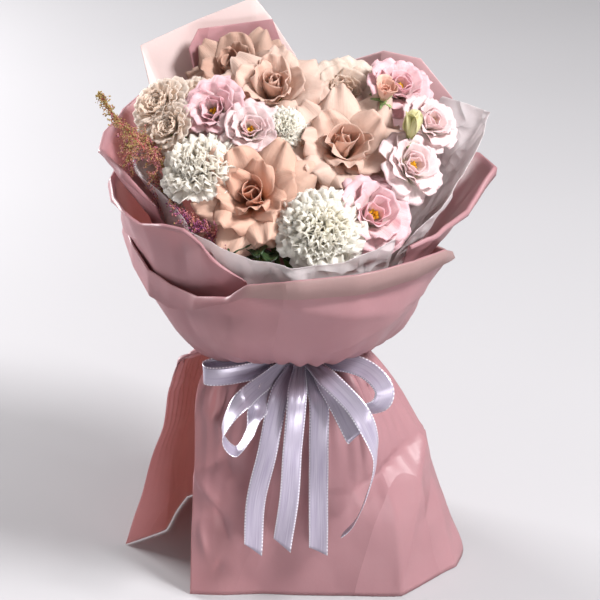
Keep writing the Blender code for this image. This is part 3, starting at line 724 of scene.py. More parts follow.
def random_folds(count: int, seed: int, depth: float, low: float = 0.25, fine: float = 1.0) -> tuple[Fold, ...]:
    """Handling creases scattered over a sheet.

    Args:
        count: how many.
        seed: the random seed.
        depth: the deepest, in metres.
        low: the share of the length where they begin.
        fine: scales their width.

    Returns:
        The folds.
    """
    rng = np.random.default_rng(seed)
    made = []
    for _ in range(count):
        u, v = rng.uniform(0.02, 0.98), rng.uniform(low, 0.95)
        way, reach = rng.uniform(0, 2 * math.pi), rng.uniform(0.08, 0.30)
        end = (min(max(u + reach * math.cos(way) * 0.6, 0), 1), min(max(v + reach * math.sin(way), low), 1))
        wide = float(rng.choice([0.004, 0.008, 0.016, 0.030]) * rng.uniform(0.7, 1.2)) * fine
        # A wide crease is deeper than a narrow one.
        deep = float(rng.choice([-1, 1]) * rng.uniform(0.4, 1.0) * depth * (wide / 0.01) ** 0.6)
        made.append(Fold((u, v), end, deep, wide))
    return tuple(made)


def pleated(rows: Rows, depth: float, count: float, reach: float, seed: int) -> Rows:
    """Adds the pleats that run out from the binding and fade.

    Args:
        rows: the sheet's grid, its first rows at the binding.
        depth: the deepest pleat.
        count: how many pleats cross the sheet.
        reach: the share of the sheet's length over which they fade.
        seed: the random seed.

    Returns:
        The pleated grid.
    """
    rng = np.random.default_rng(seed)
    high, wide = rows.shape[:2]
    u = np.linspace(0, 1, wide)
    v = np.linspace(0, 1, high)[:, None]
    wander = rng.uniform(0.5, 1.5, 7)
    phase = sum(wander[k] * np.sin((k + 1) * math.pi * u + wander[-1 - k]) for k in range(3))
    wave = 1 - 2 * np.abs(np.mod(count * u + 0.35 * phase, 1.0) - 0.5) * 2
    size = depth * ease(v, 0.02, 0.16) * np.exp(-((v / reach) ** 2))
    return rows + grid_normals(rows) * (size * wave)[..., None]


def rumpled(rows: Rows, depth: float, scale: float, seed: int) -> Rows:
    """Adds the uneven swells and facets of a handled sheet.

    Args:
        rows: the sheet's grid.
        depth: the greatest shift.
        scale: swells to a metre.
        seed: shifts the pattern.

    Returns:
        The rumpled grid.
    """
    normals = grid_normals(rows)
    high, wide = rows.shape[:2]
    shift = Vector((seed * 3.1, seed * 1.7, seed * 0.9))
    lift = np.empty((high, wide))
    for i in range(high):
        for j in range(wide):
            at = Vector(rows[i, j]) * scale + shift
            lift[i, j] = noise.noise(at) + 0.7 * (noise.voronoi(at * 1.3)[0][0] - 0.35)
    v = ease(np.linspace(0, 1, high), 0.10, 0.35)[:, None]
    return rows + normals * (depth * lift * v)[..., None]


@dataclass
class CollarSheet:
    """A sheet of film or tissue that opens out from the binding."""

    name: str
    finish: Finish
    slot: str
    gather: float
    neck_top: float
    stations: tuple[Station, ...]
    marks: tuple[Crease, ...] = ()
    tinted: float = 0.0
    creases: int = 10
    crease_depth: float = 0.0030
    fine: float = 1.0
    swell: float = 0.003
    swells: float = 14.0
    pleat_depth: float = 0.004
    pleat_width: float = 0.030
    pleat_reach: float = 0.36
    seed: int = 1
    spacing: float = 0.0042
    upward: int = 18

    def rows(self) -> Rows:
        """Makes the sheet's surface.

        Returns:
            The sheet's grid, its rows across and its columns from the binding to the rim.
        """
        rails = []
        for station in self.stations:
            turn = math.radians(station.angle)
            rails.append([(r * math.sin(turn), -r * math.cos(turn), z)
                          for r, z in station.profile(self.gather, self.neck_top)])
        rails = np.array(rails).transpose(1, 0, 2)
        wide = np.linalg.norm(np.diff(rails[4], axis=0), axis=1).sum()
        across = max(2, round(wide / self.spacing / (len(self.stations) - 1)))
        # Round at the binding and straight between the corners at the rim.
        crisp = np.array([0.0, 0.0, 0.0, 0.35, *[1.0] * 6])[:, None, None]
        lines = through(rails, across, axis=1) * (1 - crisp) + straight(rails, across) * crisp
        body = np.concatenate([lines[:1], through(lines[1:5], self.upward, axis=0)])
        rows = pleated(body, self.pleat_depth, max(3.0, wide / self.pleat_width), self.pleat_reach, self.seed)
        rows = rumpled(rows, self.swell, self.swells, self.seed)
        for mark in self.marks:
            rows = mark.press(rows)
        rows = pressed(rows, random_folds(self.creases, self.seed, self.crease_depth, fine=self.fine))
        # The rolled or turned-back rim goes with the edge that it grows from.
        return np.concatenate([rows, lines[5:] + (rows[-1] - body[-1])])

    def build(self) -> None:
        rows = self.rows()
        # The turned-back flap shows the film's duller reverse, but not round the left side.
        turned = (np.arange(len(rows)) >= len(rows) - 3)[:, None]
        tint = self.tinted * turned * ease(rows[-6][None, :, 0], -0.060, -0.040)
        mesh = mesh_of_grids(self.name, [(rows, metric_uv(rows), tint)])
        name = self.name + ("_crumpled" if self.finish is Finish.TISSUE else "_folded")
        piece = Piece(name, mesh, self.finish.material(), self.slot, (self.name,)).walled(SHEET_GAUGE)


@dataclass
class SkirtSheet:
    """A sheet of film that hangs from the waist to the floor."""

    name: str
    gather: float
    neck_foot: float
    lines: tuple
    marks: tuple[Crease, ...]
    seed: int
    pleats: float
    finish: Finish = Finish.FILM
    pleat_depth: float = 0.0050
    pleat_reach: float = 0.40
    swell: float = 0.0045
    swells: float = 12.0
    creases: int = 60
    crease_depth: float = 0.0034
    crease_top: float = 0.12
    fine: float = 0.7
    across: int = 22
    downward: int = 28

    def rows(self) -> Rows:
        """Makes the sheet's surface.

        Returns:
            The sheet's grid, its rows across and its columns from the waist to the hem.
        """
        rails = []
        for angle, *points in self.lines:
            turn = math.radians(angle)
            x, y = self.gather * math.sin(turn), -self.gather * math.cos(turn)
            rails.append([(x, y, BIND_HEIGHT + NECK), (x, y, self.neck_foot), *points])
        rails = np.array(rails).transpose(1, 0, 2)
        # Round at the waist, with corners towards the hem.
        crisp = np.array([0.0, 0.0, 0.0, 0.5, 0.85])[:, None, None]
        lines = through(rails, self.across, axis=1) * (1 - crisp) + straight(rails, self.across) * crisp
        rows = np.concatenate([lines[:1], through(lines[1:], self.downward, axis=0)])
        hem = rows[-1].copy()
        rows = pleated(rows, self.pleat_depth, self.pleats, self.pleat_reach, self.seed)
        rows = rumpled(rows, self.swell, self.swells, self.seed)
        for mark in self.marks:
            rows = mark.press(rows)
        rows = pressed(rows, random_folds(self.creases, self.seed, self.crease_depth, self.crease_top, self.fine))
        # The hem stays on the floor, and nothing goes below it.
        rows[..., 2] = np.where(np.arange(len(rows))[:, None] == len(rows) - 1, hem[:, 2],
                                np.maximum(rows[..., 2], hem[:, 2].min() + 0.0002))
        return rows

    def build(self) -> None:
        rows = self.rows()
        mesh = mesh_of_grids(self.name, [(rows, metric_uv(rows), 0.0)])
        piece = Piece(self.name + "_folded", mesh, self.finish.material(), "wrap_film", (self.name,))
        piece.walled(SHEET_GAUGE)


# Each collar sheet from its first edge round to its last: angle, (radius, height) at the knee, the belly and
# the rim, then the radius of the rolled rim, how far it turns and the length of its flap.
FRONT = (
    Station(-122, (0.090, 0.258), (0.126, 0.300), (0.139, 0.330)),
    Station(-106, (0.093, 0.252), (0.138, 0.302), (0.152, 0.345), 0.0015, 60, 0.002),
    Station(-92, (0.094, 0.248), (0.144, 0.306), (0.168, 0.374), 0.0022, 150, 0.012),
    Station(-80, (0.095, 0.246), (0.143, 0.303), (0.162, 0.364), 0.0020, 165, 0.022),
    Station(-68, (0.095, 0.248), (0.139, 0.300), (0.154, 0.349), 0.0020, 165, 0.026),
    Station(-55, (0.094, 0.254), (0.134, 0.299), (0.146, 0.347), 0.0020, 160, 0.022),
    Station(-40, (0.093, 0.260), (0.131, 0.301), (0.143, 0.348), 0.0020, 140, 0.012),
    Station(-27, (0.092, 0.264), (0.130, 0.305), (0.143, 0.356), 0.0020, 120, 0.006),
    Station(-18, (0.090, 0.266), (0.130, 0.311), (0.146, 0.375), 0.0022, 150, 0.010),
    Station(0, (0.089, 0.267), (0.130, 0.317), (0.148, 0.386), 0.0024, 158, 0.016),
    Station(20, (0.089, 0.267), (0.130, 0.319), (0.149, 0.387), 0.0024, 158, 0.017),
    Station(43, (0.089, 0.267), (0.129, 0.321), (0.150, 0.384), 0.0024, 158, 0.016),
    Station(60, (0.090, 0.267), (0.128, 0.324), (0.151, 0.380), 0.0024, 155, 0.012),
    Station(76, (0.092, 0.267), (0.127, 0.324), (0.146, 0.360), 0.0020, 130, 0.006),
    Station(92, (0.093, 0.267), (0.124, 0.316), (0.138, 0.343), 0.0015, 60, 0.002),
    Station(115, (0.091, 0.266), (0.120, 0.304), (0.134, 0.329)),
)
LEFT = (
    Station(-112, (0.084, 0.268), (0.131, 0.322), (0.176, 0.412), 0.0040, 150, 0.004),
    Station(-104, (0.086, 0.266), (0.138, 0.318), (0.180, 0.418), 0.0040, 150, 0.004),
    Station(-92, (0.088, 0.264), (0.143, 0.316), (0.181, 0.417), 0.0035, 140, 0.006),
    Station(-84, (0.088, 0.264), (0.142, 0.315), (0.176, 0.406), 0.0030, 120, 0.004),
    Station(-76, (0.087, 0.265), (0.140, 0.314), (0.170, 0.403), 0.0025, 90, 0.002),
    Station(-66, (0.086, 0.268), (0.137, 0.314), (0.161, 0.400), 0.0025, 90, 0.002),
    Station(-54, (0.084, 0.270), (0.131, 0.318), (0.153, 0.410), 0.0040, 190, 0.001),
    Station(-45, (0.082, 0.272), (0.126, 0.320), (0.147, 0.412), 0.0035, 200, 0.001),
    Station(-33, (0.080, 0.274), (0.120, 0.321), (0.139, 0.390), 0.0020, 120, 0.002),
    Station(-21, (0.078, 0.276), (0.115, 0.322), (0.136, 0.369), 0.0015, 60, 0.001),
)
RIGHT = (
    Station(44, (0.078, 0.277), (0.119, 0.334), (0.141, 0.394), 0.0030, 160, 0.001),
    Station(57, (0.080, 0.278), (0.120, 0.338), (0.148, 0.398), 0.0035, 180, 0.001),
    Station(73, (0.082, 0.280), (0.122, 0.344), (0.164, 0.406), 0.0040, 170, 0.003),
    Station(90, (0.084, 0.281), (0.126, 0.350), (0.185, 0.431), 0.0040, 150, 0.006),
    Station(104, (0.084, 0.281), (0.127, 0.350), (0.179, 0.429), 0.0030, 120, 0.004),
    Station(122, (0.082, 0.280), (0.124, 0.345), (0.168, 0.419), 0.0020, 60, 0.002),
    Station(140, (0.080, 0.279), (0.120, 0.345), (0.160, 0.414)),
)
LEFT_REAR = (
    Station(-66, (0.074, 0.276), (0.116, 0.338), (0.147, 0.415), 0.0020, 60, 0.002),
    Station(-78, (0.078, 0.276), (0.124, 0.342), (0.167, 0.438), 0.0030, 120, 0.004),
    Station(-90, (0.082, 0.276), (0.132, 0.350), (0.188, 0.449), 0.0045, 200, 0.003),
    Station(-100, (0.082, 0.276), (0.132, 0.350), (0.189, 0.455), 0.0045, 200, 0.003),
    Station(-110, (0.080, 0.276), (0.128, 0.350), (0.183, 0.467), 0.0020, 90, 0.002),
    Station(-121, (0.078, 0.276), (0.124, 0.350), (0.172, 0.481)),
    Station(-136, (0.078, 0.276), (0.124, 0.350), (0.170, 0.469)),
    Station(-152, (0.076, 0.276), (0.122, 0.350), (0.166, 0.449)),
)
BACK_PALE = (
    Station(-119, (0.068, 0.286), (0.100, 0.360), (0.168, 0.483)),
    Station(-122, (0.068, 0.286), (0.102, 0.370), (0.184, 0.519)),
    Station(-139, (0.072, 0.286), (0.104, 0.380), (0.153, 0.540)),
    Station(-160, (0.074, 0.282), (0.106, 0.385), (0.132, 0.560)),
    Station(-167, (0.074, 0.282), (0.106, 0.385), (0.130, 0.539)),
    Station(-178, (0.072, 0.282), (0.106, 0.370), (0.128, 0.499)),
)
BACK_INNER = (
    Station(-128, (0.060, 0.290), (0.094, 0.370), (0.138, 0.519)),
    Station(-134, (0.062, 0.290), (0.096, 0.380), (0.138, 0.536)),
    Station(-150, (0.064, 0.290), (0.096, 0.385), (0.120, 0.539)),
    Station(-166, (0.064, 0.290), (0.094, 0.385), (0.112, 0.542)),
    Station(-173, (0.064, 0.290), (0.094, 0.375), (0.112, 0.504)),
    Station(-185, (0.064, 0.290), (0.094, 0.365), (0.110, 0.479)),
)
BACK_RIGHT = (
    Station(109, (0.070, 0.286), (0.111, 0.358), (0.160, 0.451)),
    Station(116, (0.070, 0.286), (0.110, 0.362), (0.166, 0.473)),
    Station(128, (0.070, 0.284), (0.108, 0.372), (0.150, 0.507)),
    Station(142, (0.070, 0.284), (0.106, 0.375), (0.134, 0.511)),
    Station(160, (0.070, 0.284), (0.106, 0.372), (0.128, 0.494)),
    Station(174, (0.070, 0.284), (0.106, 0.368), (0.126, 0.484)),
)
TISSUE_LEFT = (
    Station(-100, (0.058, 0.292), (0.100, 0.362), (0.156, 0.446)),
    Station(-90, (0.060, 0.292), (0.102, 0.358), (0.158, 0.446)),
    Station(-78, (0.060, 0.290), (0.102, 0.352), (0.152, 0.437)),
    Station(-64, (0.062, 0.288), (0.102, 0.344), (0.140, 0.424)),
    Station(-50, (0.064, 0.286), (0.102, 0.340), (0.136, 0.412)),
)
TISSUE_FRONT = (
    Station(-46, (0.068, 0.284), (0.113, 0.336), (0.139, 0.403)),
    Station(-28, (0.070, 0.282), (0.116, 0.334), (0.139, 0.396)),
    Station(-18, (0.072, 0.281), (0.117, 0.332), (0.138, 0.390)),
    Station(0, (0.073, 0.280), (0.114, 0.331), (0.134, 0.390)),
    Station(16, (0.073, 0.280), (0.114, 0.331), (0.135, 0.392)),
    Station(30, (0.072, 0.281), (0.113, 0.333), (0.133, 0.396)),
    Station(41, (0.070, 0.282), (0.111, 0.335), (0.131, 0.400)),
)
TISSUE_RIGHT = (
    Station(46, (0.064, 0.288), (0.104, 0.346), (0.139, 0.402)),
    Station(60, (0.066, 0.288), (0.106, 0.352), (0.147, 0.419)),
    Station(76, (0.066, 0.290), (0.108, 0.360), (0.156, 0.441)),
    Station(90, (0.066, 0.290), (0.110, 0.366), (0.174, 0.462)),
    Station(99, (0.066, 0.292), (0.110, 0.372), (0.185, 0.473)),
    Station(108, (0.064, 0.292), (0.104, 0.372), (0.170, 0.474)),
    Station(119, (0.062, 0.292), (0.100, 0.374), (0.158, 0.474)),
    Station(132, (0.060, 0.292), (0.096, 0.374), (0.146, 0.474)),
)
# Each skirt sheet from its first edge round to its last: angle at the waist, then places at hip, half way and hem.
FRONT_SKIRT = (
    (-62, (-0.094, -0.040, 0.232), (-0.106, -0.066, 0.130), (-0.112, -0.089, 0.0008)),
    (-31, (-0.050, -0.060, 0.217), (-0.066, -0.080, 0.130), (-0.075, -0.091, 0.0008)),
    (0, (-0.004, -0.064, 0.215), (-0.012, -0.085, 0.130), (-0.018, -0.092, 0.0008)),
    (28, (0.034, -0.058, 0.217), (0.046, -0.083, 0.130), (0.046, -0.093, 0.0008)),
    (53, (0.058, -0.042, 0.230), (0.088, -0.072, 0.130), (0.104, -0.093, 0.0008)),
    (79, (0.068, -0.014, 0.234), (0.127, -0.026, 0.130), (0.162, -0.040, 0.0008)),
    (99, (0.068, 0.010, 0.234), (0.127, 0.010, 0.130), (0.171, -0.006, 0.0008)),
    (130, (0.054, 0.042, 0.228), (0.100, 0.062, 0.120), (0.132, 0.072, 0.0008)),
    (164, (0.020, 0.058, 0.224), (0.050, 0.090, 0.120), (0.070, 0.108, 0.0008)),
    (192, (-0.012, 0.060, 0.224), (-0.006, 0.094, 0.120), (0.000, 0.112, 0.0008)),
)
REAR_SKIRT = (
    (-90, (-0.116, -0.008, 0.226), (-0.144, -0.004, 0.130), (-0.187, 0.002, 0.0008)),
    (-106, (-0.100, 0.022, 0.226), (-0.126, 0.026, 0.130), (-0.148, 0.030, 0.0008)),
    (-130, (-0.078, 0.052, 0.228), (-0.106, 0.074, 0.130), (-0.128, 0.096, 0.0008)),
    (-158, (-0.036, 0.076, 0.229), (-0.056, 0.112, 0.130), (-0.066, 0.134, 0.0008)),
    (-186, (0.010, 0.080, 0.229), (0.010, 0.116, 0.130), (0.008, 0.138, 0.0008)),
    (-207, (0.038, 0.076, 0.229), (0.064, 0.110, 0.130), (0.076, 0.134, 0.0008)),
)


@dataclass
class Wrapper:
    """Collar, tissue and skirt: every sheet gathered round the binding, the inner ones first."""

    inner_gather: float = 0.0218
    layer: float = 0.0017

    def gather(self, layers: int) -> float:
        """Radius at the binding of a sheet with this many layers inside it."""
        return self.inner_gather + layers * self.layer

    def neck_top(self, layers: int) -> float:
        """Height where such a sheet leaves the binding; an outer sheet leaves lower."""
        return BIND_HEIGHT + NECK + (5 - layers) * self.layer

    def build(self) -> None:
        """Builds the collar, its tissue and the skirt."""
        self.build_collar()
        self.build_tissue()
        self.build_skirt()

    def build_collar(self) -> None:
        """Builds the film sheets of the collar."""
        front_marks = (
            Crease(((-0.066, 0.361), (-0.001, 0.354), (0.045, 0.344), (0.086, 0.329)), 0.0090, 0.045, 0.010),
            Crease(((-0.064, 0.358), (-0.099, 0.342), (-0.118, 0.330)), 0.0060, 0.016, 0.006),
            Crease(((-0.099, 0.342), (-0.112, 0.318), (-0.100, 0.290)), -0.0050, 0.014, 0.014),
            Crease(((-0.063, 0.333), (-0.066, 0.300)), 0.0035, 0.012, 0.012),
            Crease(((0.086, 0.329), (0.070, 0.290), (0.040, 0.272)), 0.0040, 0.014, 0.014),
            Crease(((0.050, 0.372), (0.112, 0.366)), -0.0040, 0.010, 0.006),
        )
        for name, finish, slot, layers, stations, extra in (
            ("film_front_sheet", Finish.FILM, "wrap_film", 4, FRONT,
             {"marks": front_marks, "creases": 30, "tinted": 1.0}),
            ("film_left_sheet", Finish.FILM, "wrap_film", 3, LEFT, {"creases": 34, "crease_depth": 0.0040}),
            ("film_right_sheet", Finish.FILM, "wrap_film", 2, RIGHT, {"creases": 26}),
            ("film_left_rear_sheet", Finish.FILM, "wrap_film", 2, LEFT_REAR, {"creases": 22}),
            ("film_back_pale_sheet", Finish.PALE_FILM, "pale_film", 1, BACK_PALE,
             {"creases": 6, "swell": 0.0015}),
            # The back-right sheet takes the paler film copy, with painted backlight in its colour.
            ("film_back_right_sheet", Finish.BACKLIT_FILM, "wrap_film", 1, BACK_RIGHT, {"creases": 8}),
            ("film_back_inner_sheet", Finish.FILM, "wrap_film", 0, BACK_INNER,
             {"creases": 5, "swell": 0.0015}),
        ):
            CollarSheet(name, finish, slot, self.gather(layers), self.neck_top(layers), stations,
                        seed=len(name) + layers * 3, **extra).build()

    def build_tissue(self) -> None:
        """Builds the crushed tissue inside the collar."""
        for name, stations, seed in (
            ("tissue_left_sheet", TISSUE_LEFT, 31),
            ("tissue_front_sheet", TISSUE_FRONT, 32),
            ("tissue_right_sheet", TISSUE_RIGHT, 33),
        ):
            CollarSheet(name, Finish.TISSUE, "tissue", self.gather(0), self.neck_top(0), stations, creases=150,
                        crease_depth=0.0060, fine=0.45, swell=0.006, seed=seed, spacing=0.0022).build()

    def build_skirt(self) -> None:
        """Builds the two film sheets of the skirt."""
        skirt_marks = (
            Crease(((0.119, 0.151), (0.088, 0.137), (0.052, 0.118)), 0.0106, 0.0090, 0.0240),
            Crease(((0.130, 0.168), (0.115, 0.114), (0.101, 0.012)), -0.0100, 0.0105, 0.0112),
            Crease(((0.093, 0.200), (0.106, 0.151)), 0.0060, 0.010, 0.010),
            Crease(((0.078, 0.222), (0.082, 0.182)), 0.0060, 0.008, 0.008),
            Crease(((0.056, 0.216), (0.066, 0.180), (0.064, 0.140)), -0.0060, 0.016, 0.016),
            Crease(((-0.072, 0.222), (-0.084, 0.187)), 0.0081, 0.0067, 0.0072),
            Crease(((-0.092, 0.222), (-0.096, 0.190)), -0.0069, 0.0060, 0.0064),
            Crease(((-0.084, 0.188), (-0.070, 0.180)), -0.0045, 0.008, 0.006),
            Crease(((-0.100, 0.134), (-0.076, 0.149), (-0.066, 0.133)), 0.0069, 0.0075, 0.0080),
            Crease(((-0.106, 0.130), (-0.080, 0.100)), -0.0069, 0.0075, 0.0064),
            Crease(((-0.086, 0.096), (-0.072, 0.066)), 0.0069, 0.0075, 0.0064),
            Crease(((-0.100, 0.078), (-0.094, 0.046)), -0.0056, 0.0067, 0.0072),
            Crease(((-0.078, 0.040), (-0.088, 0.024)), 0.0040, 0.008, 0.008),
            Crease(((0.140, 0.120), (0.128, 0.060)), 0.0060, 0.012, 0.012),
        )
        SkirtSheet("skirt_front_sheet", self.gather(5), 0.2343, FRONT_SKIRT, skirt_marks, 41, 30.0).build()
        SkirtSheet("skirt_rear_sheet", self.gather(6), 0.2365, REAR_SKIRT, (), 43, 20.0).build()


# ---------------------------------------------------------------- ribbons


@dataclass(frozen=True)
class RibbonLength:
    """One length of the bow: its line from the knot, the ways its width points in turn, and its end's slant."""

    name: str
    line: tuple
    ways: tuple
    swallow: float = 0.0


RIBBONS = (
    RibbonLength("ribbon_tail_left", (
        (-0.0075, -0.0441, 0.2398), (-0.021, -0.081, 0.222), (-0.031, -0.100, 0.177),
        (-0.043, -0.106, 0.123), (-0.047, -0.108, 0.068)),
        ((0.97, -0.05, -0.24), (0.96, -0.2, -0.26), (0.96, 0.25, -0.28)), 0.008),
    RibbonLength("ribbon_tail_middle", (
        (0.0000, -0.0441, 0.2430), (-0.003, -0.088, 0.227), (-0.007, -0.106, 0.179), (-0.011, -0.110, 0.125),
        (-0.018, -0.112, 0.074)), ((0.99, 0.0, -0.1), (0.98, 0.2, -0.1), (0.94, -0.2, -0.34)), 0.006),
    RibbonLength("ribbon_tail_right", (
        (0.0080, -0.0441, 0.2390), (0.018, -0.082, 0.222), (0.018, -0.101, 0.177), (0.018, -0.106, 0.124),
        (0.018, -0.109, 0.066)), ((1.0, 0.0, 0.0), (1.0, -0.15, 0.0), (1.0, 0.2, 0.0)), 0.006),
    RibbonLength("ribbon_tail_long", (
        (0.0070, -0.0456, 0.2462), (0.030, -0.090, 0.246), (0.056, -0.112, 0.226), (0.068, -0.118, 0.196),
        (0.072, -0.120, 0.168), (0.067, -0.121, 0.140), (0.055, -0.120, 0.112), (0.041, -0.118, 0.094)),
        ((0.8, 0.1, 0.6), (0.75, 0.1, 0.6), (0.22, 0.95, 0.1), (0.2, 0.97, 0.1), (0.5, 0.8, 0.2))),
    RibbonLength("ribbon_loop_left_high", (
        (-0.0128, -0.0378, 0.2430), (-0.045, -0.063, 0.2445), (-0.078, -0.074, 0.2440), (-0.0935, -0.073, 0.2440),
        (-0.091, -0.061, 0.2450), (-0.060, -0.051, 0.2450), (-0.0128, -0.0362, 0.2430)),
        ((0.0, 0.1, 1.0), (0.0, 0.1, 1.0))),
    RibbonLength("ribbon_loop_left_low", (
        (-0.0132, -0.0428, 0.2430), (-0.030, -0.068, 0.2380), (-0.054, -0.102, 0.2330), (-0.071, -0.120, 0.206),
        (-0.061, -0.122, 0.188), (-0.047, -0.116, 0.202), (-0.039, -0.092, 0.222), (-0.028, -0.061, 0.2360),
        (-0.0132, -0.0408, 0.2430)), ((0.0, 0.1, 1.0), (0.0, 1.0, 0.0), (0.0, 0.1, 1.0))),
    RibbonLength("ribbon_loop_right_low", (
        (0.0132, -0.0428, 0.2430), (0.024, -0.074, 0.2380), (0.038, -0.102, 0.2230), (0.0505, -0.1145, 0.2035),
        (0.0525, -0.110, 0.1995), (0.048, -0.100, 0.206), (0.038, -0.084, 0.2190), (0.026, -0.062, 0.2330),
        (0.0132, -0.0408, 0.2430)), ((0.75, 0.0, 0.66), (0.74, 0.05, 0.68), (0.75, 0.0, 0.66))),
    RibbonLength("ribbon_loop_right_high", (
        (0.0128, -0.0378, 0.2430), (0.042, -0.056, 0.2500), (0.064, -0.068, 0.2480), (0.0785, -0.078, 0.2380),
        (0.0810, -0.082, 0.2260), (0.0740, -0.084, 0.2150), (0.060, -0.080, 0.2110), (0.040, -0.066, 0.2240),
        (0.0128, -0.0362, 0.2430)), ((0.4, 0.1, 0.9), (0.8, 0.1, 0.55), (1.0, 0.1, 0.0), (0.5, 0.3, -0.8),
                                     (0.1, 0.3, -0.9))),
)


@dataclass
class Bow:
    """The satin bow: waist band, knot, tails and loops."""

    pinch: float = 0.60
    pleat_depth: float = 0.0011
    crown: float = 0.0011
    ripple: float = 0.0022
    columns: int = 9
    band_radius: float = 0.0337
    knot_half: tuple[float, float, float] = (0.0118, 0.0043, 0.0063)

    def length_rows(self, length: RibbonLength) -> Rows:
        """Makes the surface of one length.

        Args:
            length: the length of ribbon.

        Returns:
            Its grid, the rows along the ribbon and the columns across it.
        """
        run = through(np.array(length.line), 14)
        ways = np.array([Vector(way).normalized() for way in length.ways])
        turned = np.linspace(0, len(ways) - 1, len(run))
        first = np.minimum(turned.astype(int), len(ways) - 2)
        aside = ways[first] + (ways[first + 1] - ways[first]) * (turned - first)[:, None]
        along = np.gradient(run, axis=0)
        along /= np.linalg.norm(along, axis=1, keepdims=True)
        aside -= along * (aside * along).sum(axis=1, keepdims=True)
        aside /= np.linalg.norm(aside, axis=1, keepdims=True)
        step = np.arange(len(run), dtype=float)
        if "loop" in length.name:
            step = np.minimum(step, step[::-1])
        # It opens to its full width 12 steps from the knot, and is smooth 26 steps from it.
        wide = RIBBON_WIDTH / 2 * (self.pinch + (1 - self.pinch) * ease(step, 0, 12))
        s = np.linspace(-1, 1, self.columns)
        facing = np.cross(along, aside)
        # Where it is pinched the ribbon gathers into three soft pleats.
        gathered = (1 - ease(step, 0, 26)) * self.pleat_depth
        crown = self.crown * np.sin(np.linspace(0, 7.0, len(run)) + len(length.name))
        ripple = self.ripple * np.sin(np.linspace(0, 11.0, len(run)) + len(length.name)) * ease(step, 6, 30)
        run = run + facing * ripple[:, None]
        rows = run[:, None] + aside[:, None] * (wide[:, None] * s)[..., None]
        lift = gathered[:, None] * np.cos(s * 3 * math.pi) + crown[:, None] * (1 - s * s)
        rows = rows + facing[:, None] * lift[..., None]
        if length.swallow:
            # The end is cut on the slant.
            cut = np.linspace(0, 1, len(run))[:, None] ** 24
            rows = rows + along[:, None] * (cut * s * length.swallow)[..., None]
        return rows

    def build(self) -> None:
        """Builds every length and the knot."""
        satin = Finish.SATIN.material()
        for length in RIBBONS:
            rows = self.length_rows(length)
            run = np.linalg.norm(np.diff(rows[:, self.columns // 2], axis=0), axis=1)
            v = np.concatenate([[0.0], np.cumsum(run)])
            uv = np.stack(np.meshgrid(np.linspace(0, RIBBON_WIDTH, self.columns), v), axis=2)
            name = length.name + "_satin"
            piece = Piece(name, mesh_of_grids(name, [(rows, uv, 0.0)]), satin, "satin_ribbon", (length.name,))
            piece.walled(RIBBON_GAUGE)
        self.build_band(satin)
        self.build_knot(satin)

    def build_band(self, satin: bpy.types.Material) -> None:
        """Builds the waist band, bunched into three soft pleats.

        Args:
            satin: the ribbon's finish.
        """
        turns = np.linspace(math.radians(1), math.radians(359), 120)
        s = np.linspace(-1, 1, 13)
        radius = self.band_radius + 0.0005 * np.cos(s * 3 * math.pi)[None, :] + 0 * turns[:, None]
        rows = np.stack([radius * np.sin(turns)[:, None], -radius * np.cos(turns)[:, None],
                         BIND_HEIGHT + 0.0045 * s[None, :] + 0 * turns[:, None]], axis=2)
        v = turns * self.band_radius
        uv = np.stack(np.meshgrid(np.linspace(0, RIBBON_WIDTH, 13), v), axis=2)
        piece = Piece("ribbon_band_satin", mesh_of_grids("ribbon_band_satin", [(rows, uv, 0.0)]), satin,
                      "satin_ribbon", ("ribbon_band",)).walled(RIBBON_GAUGE)

    def build_knot(self, satin: bpy.types.Material) -> None:
        """Builds the knot as one pinched turn of ribbon with soft pleats.

        Args:
            satin: the ribbon's finish.
        """
        low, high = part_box("ribbon_knot")
        middle = (np.array(low) + np.array(high)) / 2
        turns = np.linspace(0, 2 * math.pi, 41)
        s = np.linspace(-1, 1, 21)
        a, b, c = self.knot_half
        # Plump in its middle and closed at both ends.
        swell = np.sqrt(np.clip(1 - (np.abs(s) ** 3.0), 0.0, 1.0))
        pleat = 1 + 0.06 * np.cos(s * 5 * math.pi)
        x = a * s[None, :] + 0 * turns[:, None]
        y = b * np.cos(turns)[:, None] * (swell * pleat)[None, :]
        z = c * np.sin(turns)[:, None] * (swell * pleat)[None, :]
        rows = middle + np.stack([x, y, z], axis=2)
        mesh = mesh_of_grids("ribbon_knot_satin", [(rows, metric_uv(rows), 0.0)])
        made_whole(mesh, 0.00002)
        Piece("ribbon_knot_satin", mesh, satin, "satin_ribbon", ("ribbon_knot",))


# ---------------------------------------------------------------- flowers


